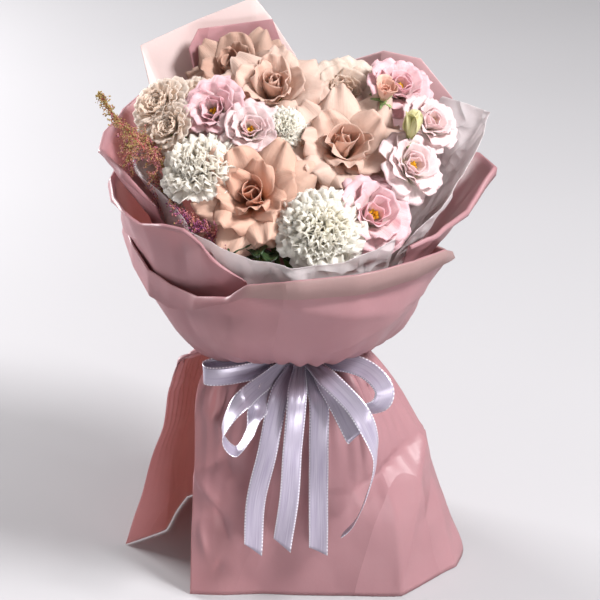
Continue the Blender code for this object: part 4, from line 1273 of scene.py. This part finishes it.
@dataclass(frozen=True)
class Whorl:
    """A turn of like petals; each pair runs from its innermost petal to its outermost.

    Lengths, widths and offsets are shares of the bloom's radius. Angles are degrees from the bloom's axis.
    """

    count: int
    length: tuple[float, float]
    width: tuple[float, float]
    rise: tuple[float, float]
    open: tuple[float, float]
    cup: tuple[float, float]
    offset: tuple[float, float] = (0.04, 0.12)
    lift: float = 0.0
    power: float = 1.6
    foot: float = 0.35
    blunt: float = 0.16
    curl: float = 0.0
    ruffle: float = 0.0
    waves: float = 2.5
    teeth: float = 0.0
    point: float = 0.0
    vary: float = 0.04
    tint: tuple[float, float] = (0.5, 0.0)
    grid: tuple[int, int] = (13, 11)

    def petal(self, share: float, azimuth: float, radius: float, rng: np.random.Generator) -> Rows:
        """One petal in its bloom's own frame, the axis along +Z.

        Args:
            share: 0 for the whorl's innermost petal and 1 for its outermost.
            azimuth: the petal's place round the axis, in radians.
            radius: the bloom's radius in metres.
            rng: where its small differences come from.

        Returns:
            The petal's grid, base first.
        """
        def at(pair: tuple[float, float], spread: float = 0.0) -> float:
            """The measure at this petal's share of the whorl, varied by up to the spread."""
            return (pair[0] + (pair[1] - pair[0]) * share) * (1 + spread * rng.uniform(-1, 1))

        high, wide = self.grid
        t = np.linspace(0, 1, high)[:, None]
        s = np.linspace(-1, 1, wide)[None, :]
        # The rim is rounded off towards its corners and cut into teeth.
        teeth = self.teeth * np.abs(np.mod(s * 4.0 + rng.uniform(0, 1), 1.0) - 0.5)
        edge = t * (1 - self.blunt * np.abs(s) ** 2.6 - teeth * 2)
        length = at(self.length, self.vary) * radius
        rise, opened = at(self.rise), at(self.open) + rng.uniform(-9, 9)
        # The petal's middle line leans out more and more from its base to its rim.
        fine = np.linspace(0, 1, 60)
        angle = np.radians(rise + (opened - rise) * fine**self.power)
        run = length / (len(fine) - 1)
        out_x = np.concatenate([[0.0], np.cumsum(np.sin(angle[1:]) * run)])
        out_z = np.concatenate([[0.0], np.cumsum(np.cos(angle[1:]) * run)])
        mid_x, mid_z, bend = (np.interp(edge, fine, values) for values in (out_x, out_z, angle))
        half = at(self.width, 0.06) * radius / 2 * (self.foot + (1 - self.foot) * ease(t, 0.0, 0.62))
        half = half * (1 - self.point * t**3.5)
        # Across, the petal is cupped, its sides curl back and its rim is ruffled.
        cup = max(at(self.cup, 0.12), 0.05)
        across = half * np.sin(cup * s) / cup
        inward = half * (1 - np.cos(cup * s)) / cup - self.curl * half * np.abs(s) ** 3 * t**2
        phase = rng.uniform(0, 2 * math.pi)
        inward = inward + self.ruffle * radius * np.sin(self.waves * math.pi * s + phase) * t**2.5
        skew = rng.uniform(-0.10, 0.10) * t**2 * radius
        x = at(self.offset) * radius + mid_x - inward * np.cos(bend)
        z = self.lift * radius + mid_z + inward * np.sin(bend)
        y = across + skew
        c, d = math.cos(azimuth), math.sin(azimuth)
        return np.stack([x * c - y * d, x * d + y * c, z], axis=2)


GRAND = (17, 15)  # rows and columns of a large petal
FRILLED = (9, 17)


class Kind(Enum):
    """How each kind of flower is built up, from its heart outwards."""

    ROSE = (
        Whorl(6, (0.62, 0.78), (0.50, 0.86), (3, 8), (-20, 2), (1.9, 1.5), (0.03, 0.12), tint=(0.6, 0.35)),
        Whorl(7, (0.84, 1.00), (0.90, 1.10), (14, 32), (20, 64), (1.2, 0.8), (0.12, 0.16), curl=0.6, point=0.3,
              ruffle=0.04, tint=(0.3, 0.15), vary=0.08, grid=GRAND),
        Whorl(8, (1.06, 1.16), (1.05, 1.25), (34, 54), (84, 118), (0.6, 0.4), (0.14, 0.16), point=0.45, curl=1.5,
              power=2.2, ruffle=0.05, vary=0.14, tint=(0.1, 0.0), grid=GRAND),
        Whorl(6, (1.04, 1.10), (1.15, 1.30), (56, 70), (100, 126), (0.4, 0.3), (0.14, 0.15), point=0.50, curl=1.5,
              power=2.0, ruffle=0.06, vary=0.16, tint=(0.05, 0.0), grid=GRAND),
    )
    OPEN_ROSE = (
        Whorl(5, (0.56, 0.72), (0.46, 0.80), (2, 10), (-18, 8), (1.8, 1.4), (0.03, 0.10), tint=(0.6, 0.4)),
        Whorl(7, (0.80, 0.98), (0.80, 1.05), (16, 34), (26, 72), (1.1, 0.7), (0.11, 0.15), curl=0.8, point=0.35,
              ruffle=0.05, vary=0.12, tint=(0.3, 0.15), grid=GRAND),
        Whorl(9, (1.04, 1.16), (1.00, 1.20), (36, 58), (80, 116), (0.6, 0.4), (0.13, 0.15), point=0.5, curl=1.7,
              power=2.1, ruffle=0.06, vary=0.15, tint=(0.1, 0.0), grid=GRAND),
        Whorl(6, (1.06, 1.12), (1.10, 1.25), (60, 74), (104, 130), (0.4, 0.3), (0.13, 0.14), point=0.55, curl=1.6,
              power=2.0, ruffle=0.06, vary=0.16, tint=(0.05, 0.0), grid=GRAND),
    )
    GARDEN_ROSE = (
        Whorl(16, (0.50, 0.72), (0.55, 0.85), (4, 24), (0, 34), (1.2, 0.9), (0.05, 0.16), ruffle=0.05, waves=3.0,
              tint=(0.6, 0.3)),
        Whorl(14, (0.80, 1.05), (0.90, 1.20), (30, 56), (50, 104), (0.8, 0.5), (0.14, 0.16), curl=0.25, ruffle=0.06,
              waves=3.0, tint=(0.2, 0.0)),
    )
    CARNATION = (
        Whorl(26, (0.92, 1.04), (0.60, 0.72), (1, 22), (40, 66), (0.4, 0.3), (0.02, 0.10), foot=0.10, ruffle=0.11,
              waves=3.0, teeth=0.05, blunt=0.06, power=4.0, tint=(0.4, 0.2), vary=0.10, grid=FRILLED),
        Whorl(30, (0.98, 1.06), (0.72, 0.84), (20, 48), (70, 96), (0.4, 0.3), (0.06, 0.10), foot=0.12, ruffle=0.10,
              waves=3.2, teeth=0.05, blunt=0.08, power=3.0, tint=(0.2, 0.1), vary=0.08, grid=FRILLED),
        Whorl(16, (1.00, 1.08), (0.90, 1.05), (50, 66), (92, 122), (0.4, 0.3), (0.08, 0.10), foot=0.15, ruffle=0.07,
              waves=3.0, teeth=0.05, blunt=0.12, power=2.4, tint=(0.1, 0.0), vary=0.08, grid=FRILLED),
    )
    LISIANTHUS = (
        Whorl(5, (0.72, 0.82), (0.80, 0.95), (8, 14), (10, 34), (1.3, 1.0), (0.08, 0.12), ruffle=0.05, waves=2.0,
              foot=0.25, tint=(0.35, 0.2)),
        Whorl(7, (0.92, 1.04), (1.00, 1.15), (24, 38), (46, 84), (0.9, 0.6), (0.12, 0.14), ruffle=0.07, waves=2.4,
              foot=0.25, curl=0.1, tint=(0.2, 0.05)),
        Whorl(6, (1.06, 1.12), (1.15, 1.25), (44, 54), (92, 116), (0.5, 0.4), (0.12, 0.12), ruffle=0.07, waves=2.6,
              foot=0.25, curl=0.2, tint=(0.05, 0.0)),
    )
    CUPPED = (
        Whorl(5, (0.95, 1.10), (0.85, 1.00), (6, 10), (-6, 8), (1.5, 1.3), (0.10, 0.16), foot=0.3, ruffle=0.03,
              tint=(0.4, 0.2)),
        Whorl(5, (1.30, 1.50), (1.10, 1.25), (16, 24), (10, 34), (1.2, 1.0), (0.16, 0.20), foot=0.3, ruffle=0.05,
              tint=(0.1, 0.0)),
    )
    BUD = (
        Whorl(5, (2.1, 2.2), (1.45, 1.60), (26, 30), (-46, -40), (1.6, 1.5), (0.08, 0.12), power=0.8, foot=0.4,
              blunt=0.4, tint=(0.4, 0.0)),
    )


@dataclass(frozen=True)
class Bloom:
    """One flower: the middle of its widest turn, its radius, and the way its face points in degrees.

    A backing is the sheet that the bloom leans on: its y at the origin, and its slopes along x and z.
    """

    node: str
    kind: Kind
    finish: Finish
    slot: str
    middle: tuple[float, float, float]
    radius: float
    turn: float
    tilt: float
    seed: int
    sink: float = 0.62
    sepals: int = 5
    stamens: int = 0
    backing: tuple[float, float, float] | None = None

    def facing(self) -> Vector:
        """Unit vector out of the flower's face."""
        turn, tilt = math.radians(self.turn), math.radians(self.tilt)
        return Vector((math.cos(tilt) * math.sin(turn), -math.cos(tilt) * math.cos(turn), math.sin(tilt)))

    def placed(self, rows: Rows) -> Rows:
        """Moves a grid from the bloom's own frame to its place.

        Args:
            rows: the grid, the bloom's axis along +Z.

        Returns:
            The grid in place, its rear held up by the backing if there is one.
        """
        axis = self.facing()
        turned = np.array(axis.to_track_quat("Z", "Y").to_matrix())
        foot = Vector(self.middle) - axis * self.radius * self.sink
        rows = rows @ turned.T + np.array(foot)
        if self.backing:
            start, along_x, along_z = self.backing
            past = rows[..., 1] - (start + along_x * rows[..., 0] + along_z * rows[..., 2]) + PETAL_BEND
            rows[..., 1] -= np.where(past > 0, past - PETAL_BEND * (1 - np.exp(-past / PETAL_BEND)), 0.0)
        return rows

    def build(self) -> None:
        """Builds the petals, and the stamens and sepals where they show."""
        rng = np.random.default_rng(self.seed)
        grids, azimuth = [], rng.uniform(0, 6)
        for whorl in self.kind.value:
            for k in range(whorl.count):
                share = k / max(whorl.count - 1, 1)
                azimuth += GOLDEN_ANGLE + rng.uniform(-0.2, 0.2)
                rows = self.placed(whorl.petal(share, azimuth, self.radius, rng))
                tint = whorl.tint[0] + (whorl.tint[1] - whorl.tint[0]) * share
                grids.append((rows, unit_uv(rows), tint + 0.08 * rng.uniform(0, 1)))
        name = self.node + "_petals"
        Piece(name, mesh_of_grids(name, grids), self.finish.material(), self.slot, (self.node,)).walled(PETAL_GAUGE)
        if self.sepals:
            self.build_sepals(rng)
        if self.stamens:
            self.build_stamens(rng)

    def build_sepals(self, rng: np.random.Generator) -> None:
        """Builds the green cup under the petals with its pointed sepals.

        Args:
            rng: where their small differences come from.
        """
        around = np.linspace(0, 2 * math.pi, 15)[None, :]
        profile = through(np.array([(0.0, -0.30), (0.10, -0.28), (0.18, -0.16), (0.16, -0.06), (0.10, -0.02)]), 3)
        r, z = profile[:, :1] * self.radius, profile[:, 1:] * self.radius
        cup = np.stack([r * np.cos(around), r * np.sin(around), z + 0 * around], axis=2)
        grids = [(self.placed(cup), unit_uv(cup), 0.2)]
        sepal = Whorl(self.sepals, (0.62, 0.70), (0.24, 0.28), (66, 84), (96, 130), (0.6, 0.5), (0.14, 0.16),
                      lift=-0.10, foot=0.9, blunt=0.8, grid=(9, 5))
        for k in range(self.sepals):
            rows = sepal.petal(k / self.sepals, 2 * math.pi * k / self.sepals + 0.3, self.radius, rng)
            grids.append((self.placed(rows), unit_uv(rows), 0.2))
        name = self.node + "_sepals"
        Piece(name, mesh_of_grids(name, grids), Finish.SEPAL.material(), "stem_green").walled(PETAL_GAUGE)

    def build_stamens(self, rng: np.random.Generator) -> None:
        """Builds the heart's stamens: thin filaments with plump anthers.

        Args:
            rng: where their small differences come from.
        """
        grids = []
        for k in range(self.stamens):
            lean, azimuth = rng.uniform(0.02, 0.16), k * GOLDEN_ANGLE
            tall = rng.uniform(0.40, 0.58) * self.radius
            v = np.linspace(0, 1, 9)[:, None]
            around = np.linspace(0, 2 * math.pi, 7)[None, :]
            # A thread that swells into the anther near its tip.
            thick = 0.0003 + 0.0011 * np.exp(-(((v - 0.86) / 0.12) ** 2)) * (v < 0.999)
            x = lean * self.radius * v * math.cos(azimuth) + thick * np.cos(around)
            y = lean * self.radius * v * math.sin(azimuth) + thick * np.sin(around)
            rows = self.placed(np.stack([x, y, v * tall + 0 * around], axis=2))
            grids.append((rows, unit_uv(rows), 0.0))
        name = self.node + "_stamens"
        Piece(name, mesh_of_grids(name, grids), Finish.STAMEN.material(), self.slot)


BLOOMS = (
    Bloom("rose_front_left", Kind.OPEN_ROSE, Finish.PEACH_ROSE, "rose_petal", (-0.046, -0.082, 0.441), 0.050, -12,
          42, 3),
    Bloom("rose_right", Kind.OPEN_ROSE, Finish.BLUSH_ROSE, "rose_petal", (0.043, -0.030, 0.474), 0.055, 10, 54, 8),
    Bloom("rose_top_front", Kind.ROSE, Finish.BLUSH_ROSE, "rose_petal", (-0.026, 0.020, 0.509), 0.043, -5, 52, 12),
    # The back rose takes the rose colours with painted shade.
    Bloom("rose_top_back", Kind.ROSE, Finish.SHADED_ROSE, "rose_petal", (-0.066, 0.060, 0.514), 0.045, -25, 52, 15,
          backing=(0.0234, 0.34, 0.18)),
    Bloom("garden_rose_top", Kind.GARDEN_ROSE, Finish.CREAM_ROSE, "cream_rose_petal", (0.043, 0.050, 0.493), 0.038, 8,
          50, 21),
    Bloom("spray_rose_outer", Kind.GARDEN_ROSE, Finish.SPRAY_ROSE, "cream_rose_petal", (-0.138, 0.020, 0.492), 0.029,
          -50, 48, 23),
    Bloom("spray_rose_lower", Kind.GARDEN_ROSE, Finish.SPRAY_ROSE, "cream_rose_petal", (-0.126, -0.010, 0.478), 0.025,
          -45, 38, 27),
    Bloom("spray_rose_inner", Kind.GARDEN_ROSE, Finish.SPRAY_ROSE, "cream_rose_petal", (-0.103, 0.030, 0.493), 0.023,
          -30, 48, 29),
    Bloom("lisianthus_left_outer", Kind.LISIANTHUS, Finish.LISIANTHUS, "lisianthus_petal", (-0.082, -0.010, 0.493),
          0.031, -20, 40, 33, stamens=12),
    Bloom("lisianthus_left_inner", Kind.LISIANTHUS, Finish.PALE_LISIANTHUS, "lisianthus_petal",
          (-0.046, -0.030, 0.482), 0.027, 5, 42, 35, stamens=10),
    Bloom("carnation_small", Kind.CARNATION, Finish.CARNATION, "carnation_petal", (-0.015, -0.018, 0.479), 0.022, 0,
          50, 37),
    Bloom("carnation_left", Kind.CARNATION, Finish.WHITE_CARNATION, "carnation_petal", (-0.094, -0.050, 0.456), 0.036,
          -25, 62, 41),
    Bloom("carnation_front", Kind.CARNATION, Finish.CARNATION, "carnation_petal", (0.022, -0.107, 0.414), 0.039, 8, 42,
          43),
    Bloom("lisianthus_front_right", Kind.LISIANTHUS, Finish.LISIANTHUS, "lisianthus_petal", (0.070, -0.085, 0.420),
          0.036, 28, 40, 47, stamens=14),
    Bloom("lisianthus_right", Kind.LISIANTHUS, Finish.PALE_LISIANTHUS, "lisianthus_petal", (0.108, -0.048, 0.453),
          0.031, 42, 36, 51, stamens=14),
    Bloom("lisianthus_upper_right", Kind.LISIANTHUS, Finish.PALE_LISIANTHUS, "lisianthus_petal",
          (0.126, -0.008, 0.482), 0.028, 50, 46, 53, stamens=8),
    Bloom("lisianthus_top_right", Kind.LISIANTHUS, Finish.LISIANTHUS, "lisianthus_petal", (0.098, 0.042, 0.502), 0.032,
          36, 56, 57, stamens=10),
    Bloom("lisianthus_side", Kind.CUPPED, Finish.PEACH_SIDE, "lisianthus_petal", (0.080, 0.010, 0.502), 0.015, 20, 60,
          61),
    Bloom("lisianthus_bud", Kind.BUD, Finish.BUD, "bud_green", (0.104, -0.036, 0.490), 0.0160, 20, 72, 63, sink=1.3),
)


# ---------------------------------------------------------------- astilbe


@dataclass(frozen=True)
class Plume:
    """One astilbe plume: the line of its axis and the reach of its longest side twigs."""

    axis: tuple
    reach: float
    seed: int


@dataclass
class Astilbe:
    """An astilbe sprig: red twigs crowded with tiny florets in bud."""

    node: str
    plumes: tuple[Plume, ...]
    spacing: float = 0.00095
    floret_radius: float = 0.00084
    stray: float = 0.0018
    side_twigs: int = 4
    axis_thickness: float = 0.0011
    twig_thickness: float = 0.0004

    def twigs(self) -> list[np.ndarray]:
        """Draws the plumes' axes and their side twigs.

        Returns:
            The line of every twig.
        """
        runs = []
        for plume in self.plumes:
            rng = np.random.default_rng(plume.seed)
            axis = through(np.array(plume.axis), 8)
            runs.append(axis)
            for k in range(1, len(axis) - 1):
                share = k / (len(axis) - 1)
                along = axis[k + 1] - axis[k - 1]
                along /= np.linalg.norm(along)
                for _ in range(self.side_twigs):
                    side = np.cross(along, rng.normal(size=3))
                    side /= np.linalg.norm(side)
                    reach = plume.reach * (1.08 - share) ** 0.8 * rng.uniform(0.25, 1.2)
                    t = np.linspace(0, 1, 5)[:, None]
                    droop = np.array([0.0, 0.0, 0.25 * reach]) * t**2
                    runs.append(axis[k] + reach * t * (side * 0.85 + along * 0.55) - droop)
        return runs

    def floret_tree(self) -> bpy.types.NodeTree:
        """Builds the node tree that sets florets along every twig.

        Returns:
            The tree, with the florets' spacing and size as inputs.
        """
        tree = bpy.data.node_groups.new(self.node + "_florets", "GeometryNodeTree")
        tree.interface.new_socket("Geometry", in_out="INPUT", socket_type="NodeSocketGeometry")
        tree.interface.new_socket("Spacing", in_out="INPUT", socket_type="NodeSocketFloat")
        tree.interface.new_socket("Floret size", in_out="INPUT", socket_type="NodeSocketFloat")
        tree.interface.new_socket("Geometry", in_out="OUTPUT", socket_type="NodeSocketGeometry")
        given = add_node(tree, "NodeGroupInput")
        curve = add_node(tree, "GeometryNodeMeshToCurve", {"Mesh": given.outputs["Geometry"]})
        points = add_node(tree, "GeometryNodeCurveToPoints", {
            "Curve": curve.outputs[0], "Length": given.outputs["Spacing"]}, mode="LENGTH")
        # A floret in bud is a small bead, a few tenths of a millimetre larger than life so that it shows.
        bead = add_node(tree, "GeometryNodeMeshIcoSphere", {"Radius": 1.0, "Subdivisions": 1})
        stray = add_node(tree, "FunctionNodeRandomValue", {
            0: (-self.stray,) * 3, 1: (self.stray,) * 3, "Seed": 2}, data_type="FLOAT_VECTOR")
        moved = add_node(tree, "GeometryNodeSetPosition", {
            "Geometry": points.outputs["Points"], "Offset": stray.outputs[0]})
        turn = add_node(tree, "FunctionNodeRandomValue", {
            1: (6.3, 6.3, 6.3), "Seed": 4}, data_type="FLOAT_VECTOR")
        grown = add_node(tree, "FunctionNodeRandomValue", {2: 0.55, 3: 1.15, "Seed": 9}, data_type="FLOAT")
        size = add_node(tree, "ShaderNodeMath", {0: grown.outputs[1], 1: given.outputs["Floret size"]},
                        operation="MULTIPLY")
        spread = add_node(tree, "GeometryNodeInstanceOnPoints", {
            "Points": moved.outputs[0], "Instance": bead.outputs["Mesh"], "Rotation": turn.outputs[0],
            "Scale": size.outputs[0]})
        solid = add_node(tree, "GeometryNodeRealizeInstances", {"Geometry": spread.outputs[0]})
        finish = add_node(tree, "GeometryNodeSetMaterial", {"Geometry": solid.outputs[0]})
        finish.inputs["Material"].default_value = Finish.FLORET.material()
        add_node(tree, "NodeGroupOutput", {0: finish.outputs[0]})
        return tree

    def build(self) -> None:
        """Builds the twigs and, with the node tree, the florets."""
        runs = self.twigs()
        places, edges = np.concatenate(runs).tolist(), []
        for run in runs:
            start = edges[-1][1] + 1 if edges else 0
            edges.extend((start + k, start + k + 1) for k in range(len(run) - 1))
        mesh = bpy.data.meshes.new(self.node + "_skeleton")
        mesh.from_pydata(places, edges, [])
        maker = linked(self.node + "_skeleton", mesh)
        tree = self.floret_tree()
        grower = maker.modifiers.new("florets", "NODES")
        grower.node_group = tree
        wanted = {"Spacing": self.spacing, "Floret size": self.floret_radius}
        for item in tree.interface.items_tree:
            if item.in_out == "INPUT" and item.name in wanted:
                grower[item.identifier] = wanted[item.name]
        name = self.node + "_florets"
        Piece(name, grown_mesh(maker, name), Finish.FLORET.material(), "astilbe_floret", (self.node,))
        # A plume's axis has more points than a side twig.
        grids = [self.twig_tube(run, self.axis_thickness if len(run) > 6 else self.twig_thickness)
                 for run in runs]
        name = self.node + "_twigs"
        Piece(name, mesh_of_grids(name, grids), Finish.RED_TWIG.material(), "astilbe_floret")

    def twig_tube(self, run: np.ndarray, thick: float) -> tuple[Rows, np.ndarray, float]:
        """Makes a thin tapering tube round one twig.

        Args:
            run: the twig's line.
            thick: its radius at the foot.

        Returns:
            The tube's grid with its UVs and its tint.
        """
        along = np.gradient(run, axis=0)
        along /= np.linalg.norm(along, axis=1, keepdims=True)
        side = np.cross(along, np.array([0.31, 0.62, 0.72]))
        side /= np.linalg.norm(side, axis=1, keepdims=True)
        up = np.cross(along, side)
        around = np.linspace(0, 2 * math.pi, 7)
        wide = thick * np.linspace(1.0, 0.35, len(run))[:, None, None]
        rows = run[:, None] + wide * (side[:, None] * np.cos(around)[None, :, None]
                                      + up[:, None] * np.sin(around)[None, :, None])
        return rows, unit_uv(rows), 0.0


ASTILBES = (
    Astilbe("astilbe_upper", (
        Plume(((-0.124, -0.036, 0.444), (-0.140, -0.040, 0.460), (-0.160, -0.027, 0.478), (-0.176, -0.010, 0.489),
               (-0.1845, -0.004, 0.502), (-0.1885, -0.004, 0.5055)), 0.015, 5),
        Plume(((-0.124, -0.022, 0.446), (-0.145, -0.010, 0.462), (-0.158, -0.012, 0.463), (-0.161, -0.020, 0.448),
               (-0.158, -0.030, 0.434)), 0.019, 7),
        Plume(((-0.112, -0.034, 0.412), (-0.126, -0.038, 0.426), (-0.140, -0.042, 0.442)), 0.023, 9),
    )),
    Astilbe("astilbe_lower", (
        Plume(((-0.062, -0.084, 0.388), (-0.080, -0.090, 0.402), (-0.100, -0.086, 0.412), (-0.122, -0.066, 0.424)),
              0.022, 11),
    )),
)


# ---------------------------------------------------------------- greenery and twine


@dataclass
class Greenery:
    """The stems, rounded from the frame's own, and the dark leaves in the front gap."""

    skin_voxel: float = 0.0014
    fan: float = 0.8  # radians between the blades of a leaf cluster

    def build(self) -> None:
        """Builds every stem and leaf."""
        for bloom in BLOOMS:
            self.build_stem("stem_" + bloom.node)
        for index, (node, root, tip, half) in enumerate((
                ("leaf_left", (-0.044, -0.080, 0.384), (-0.064, -0.114, 0.392), 0.013),
                ("leaf_middle", (-0.024, -0.084, 0.376), (-0.028, -0.122, 0.388), 0.014),
                ("leaf_right", (0.010, -0.080, 0.384), (0.000, -0.122, 0.388), 0.012))):
            self.build_leaf(node, np.array(root), np.array(tip), half, 70 + index)

    def build_stem(self, node: str) -> None:
        """Rounds one CAD stem with its side branches into a smooth living stem.

        Args:
            node: the stem's CAD node; a bloom on another's side branch has none.
        """
        source = bpy.data.objects.get(node)
        if source is None:
            return
        mesh = source.data.copy()
        mesh.transform(source.matrix_world)
        made_whole(mesh, 0.0002)
        maker = linked(node + "_maker", mesh)
        skin = maker.modifiers.new("skin", "REMESH")
        skin.mode, skin.voxel_size = "VOXEL", self.skin_voxel
        round_off = maker.modifiers.new("round", "SMOOTH")
        round_off.factor, round_off.iterations = 0.5, 6
        name = node + "_rounded"
        Piece(name, grown_mesh(maker, name), Finish.STEM.material(), "stem_green", (node,))

    def build_leaf(self, node: str, root: np.ndarray, tip: np.ndarray, half: float, seed: int) -> None:
        """Builds a cluster of three veined leaves that share one CAD leaf's place.

        Args:
            node: the leaf's CAD node.
            root: where the blades spring from.
            tip: the point of the middle blade.
            half: half a blade's width.
            seed: tells one cluster's ripples from another's.
        """
        rng = np.random.default_rng(seed)
        grids = []
        for spread in (-self.fan, 0.0, self.fan):
            along = tip - root
            length = np.linalg.norm(along) * (1.0 if not spread else 0.85)
            along = along / np.linalg.norm(along)
            side = np.cross(along, (0.0, 0.0, 1.0))
            side /= np.linalg.norm(side)
            along = along * math.cos(spread) + side * math.sin(spread) * 0.8
            along /= np.linalg.norm(along)
            side = np.cross(along, (0.0, 0.0, 1.0))
            side /= np.linalg.norm(side)
            up = np.cross(side, along)
            t = np.linspace(0, 1, 17)[:, None]
            s = np.linspace(-1, 1, 11)[None, :]
            # Widest below its middle, arched along its length, folded along its midrib and rippled at its veins.
            wide = half * (0.04 + np.sin(math.pi * t**0.8) ** 0.9)
            bow = 0.10 * length * np.sin(math.pi * t) - 0.06 * length * t * t
            bow = bow + wide * (0.30 * np.abs(s)) + 0.0008 * np.sin(t * 26 + np.abs(s) * 5 + seed)
            bow = bow + rng.uniform(-0.001, 0.001)
            rows = (root + along * length * t[..., None] + side * (wide * s)[..., None] + up * bow[..., None])
            grids.append((rows, unit_uv(rows), 0.1))
        Piece(node + "_blades", mesh_of_grids(node + "_blades", grids), Finish.LEAF.material(), "leaf_green",
              (node,)).walled(PETAL_GAUGE)


def build_twine() -> None:
    """Builds the binding: two turns of twisted jute laid as one coil inside the sheets."""
    low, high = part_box("twine_binding")
    middle, outer = (np.array(low) + np.array(high)) / 2, (high[0] - low[0]) / 2
    thick = 0.00055
    laps, twists = 2, 40
    turns = np.linspace(0, 2 * math.pi * laps, 240)
    around = np.linspace(0, 2 * math.pi, 9)
    lay = outer - thick * 1.1
    x, y = lay * np.cos(turns), lay * np.sin(turns)
    z = middle[2] + 0.0011 * (turns / turns[-1] - 0.5)
    run = np.stack([x, y, z], axis=1)
    radial = np.stack([np.cos(turns), np.sin(turns), 0 * turns], axis=1)
    rise = np.array([0.0, 0.0, 1.0])
    strand = thick * (1 + 0.12 * np.cos(2 * around[None, :] + turns[:, None] * twists))
    rows = run[:, None] + strand[..., None] * (radial[:, None] * np.cos(around)[None, :, None]
                                               + rise * np.sin(around)[None, :, None])
    mesh = mesh_of_grids("twine_wound", [(rows, unit_uv(rows), 0.0)])
    Piece("twine_wound", mesh, Finish.TWINE.material(), "twine", ("twine_binding",))


# ---------------------------------------------------------------- studio


@dataclass
class Studio:
    """Pale floor, soft lights, plain world and the camera."""

    camera_at: tuple[float, float, float] = (0.0, -1.5, 1.012)
    aim: tuple[float, float, float] = (0.0, 0.0, 0.29)
    lens: float = 100.7
    sensor: float = 36.0
    sky: float = 0.30
    floor_half: float = 6.0

    def build(self) -> None:
        """Builds the stage round the bouquet."""
        scene = bpy.context.scene
        scene.view_settings.view_transform = "Standard"
        scene.world = bpy.data.worlds.new("soft_world")
        scene.world.use_nodes = True
        back = scene.world.node_tree.nodes["Background"]
        back.inputs["Color"].default_value = (1.0, 0.99, 0.985, 1.0)
        back.inputs["Strength"].default_value = self.sky
        self.floor()
        self.lamp("key", (1.9, -1.0, 2.8), 0.75, 168.0)
        # Stands in for the light that a white floor throws up.
        self.lamp("fill", (0.9, -2.3, 0.06), 1.1, 38.0)
        self.lamp("back_left", (-2.4, 1.7, 0.9), 1.2, 165.0)
        self.camera()

    def floor(self) -> None:
        """Lays the pale floor."""
        mesh = bpy.data.meshes.new("floor")
        half = self.floor_half
        corners = [(-half, -half, 0), (half, -half, 0), (half, half, 0), (-half, half, 0)]
        mesh.from_pydata(corners, [], [(0, 1, 2, 3)])
        thing = linked("floor", mesh)
        material = bpy.data.materials.new("pale_floor")
        material.use_nodes = True
        tree = material.node_tree
        place = add_node(tree, "ShaderNodeTexCoord")
        # Clouds about 0.8 m across.
        cloud = add_node(tree, "ShaderNodeTexNoise", {"Vector": place.outputs["Object"], "Scale": 1.2})
        colour = add_ramp(tree, cloud.outputs["Fac"], {0.3: "#b0aeb1", 0.7: "#b4b2b5"})
        shader = tree.nodes["Principled BSDF"]
        tree.links.new(colour, shader.inputs["Base Color"])
        shader.inputs["Roughness"].default_value = 0.8
        mesh.materials.append(material)

    def lamp(self, name: str, place: tuple, size: float, watts: float) -> None:
        """Hangs one soft square lamp aimed at the bouquet.

        Args:
            name: the lamp's name.
            place: where it hangs.
            size: the length of its side.
            watts: its power.
        """
        light = bpy.data.lights.new(name, "AREA")
        light.size, light.energy = size, watts
        thing = linked(name, light)
        thing.location = place
        thing.rotation_euler = (Vector(self.aim) - Vector(place)).to_track_quat("-Z", "Y").to_euler()

    def camera(self) -> None:
        """Sets the camera."""
        data = bpy.data.cameras.new("camera")
        data.lens, data.sensor_width = self.lens, self.sensor
        thing = linked("camera", data)
        thing.location = self.camera_at
        thing.rotation_euler = (Vector(self.aim) - Vector(self.camera_at)).to_track_quat("-Z", "Y").to_euler()
        bpy.context.scene.camera = thing


def main() -> None:
    """Builds the bouquet round the frame and lights it."""
    logging.basicConfig(level=logging.INFO, format="%(message)s")
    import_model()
    Wrapper().build()
    Bow().build()
    for bloom in BLOOMS:
        bloom.build()
    for sprig in ASTILBES:
        sprig.build()
    Greenery().build()
    build_twine()
    Studio().build()


if __name__ == "__main__":
    main()
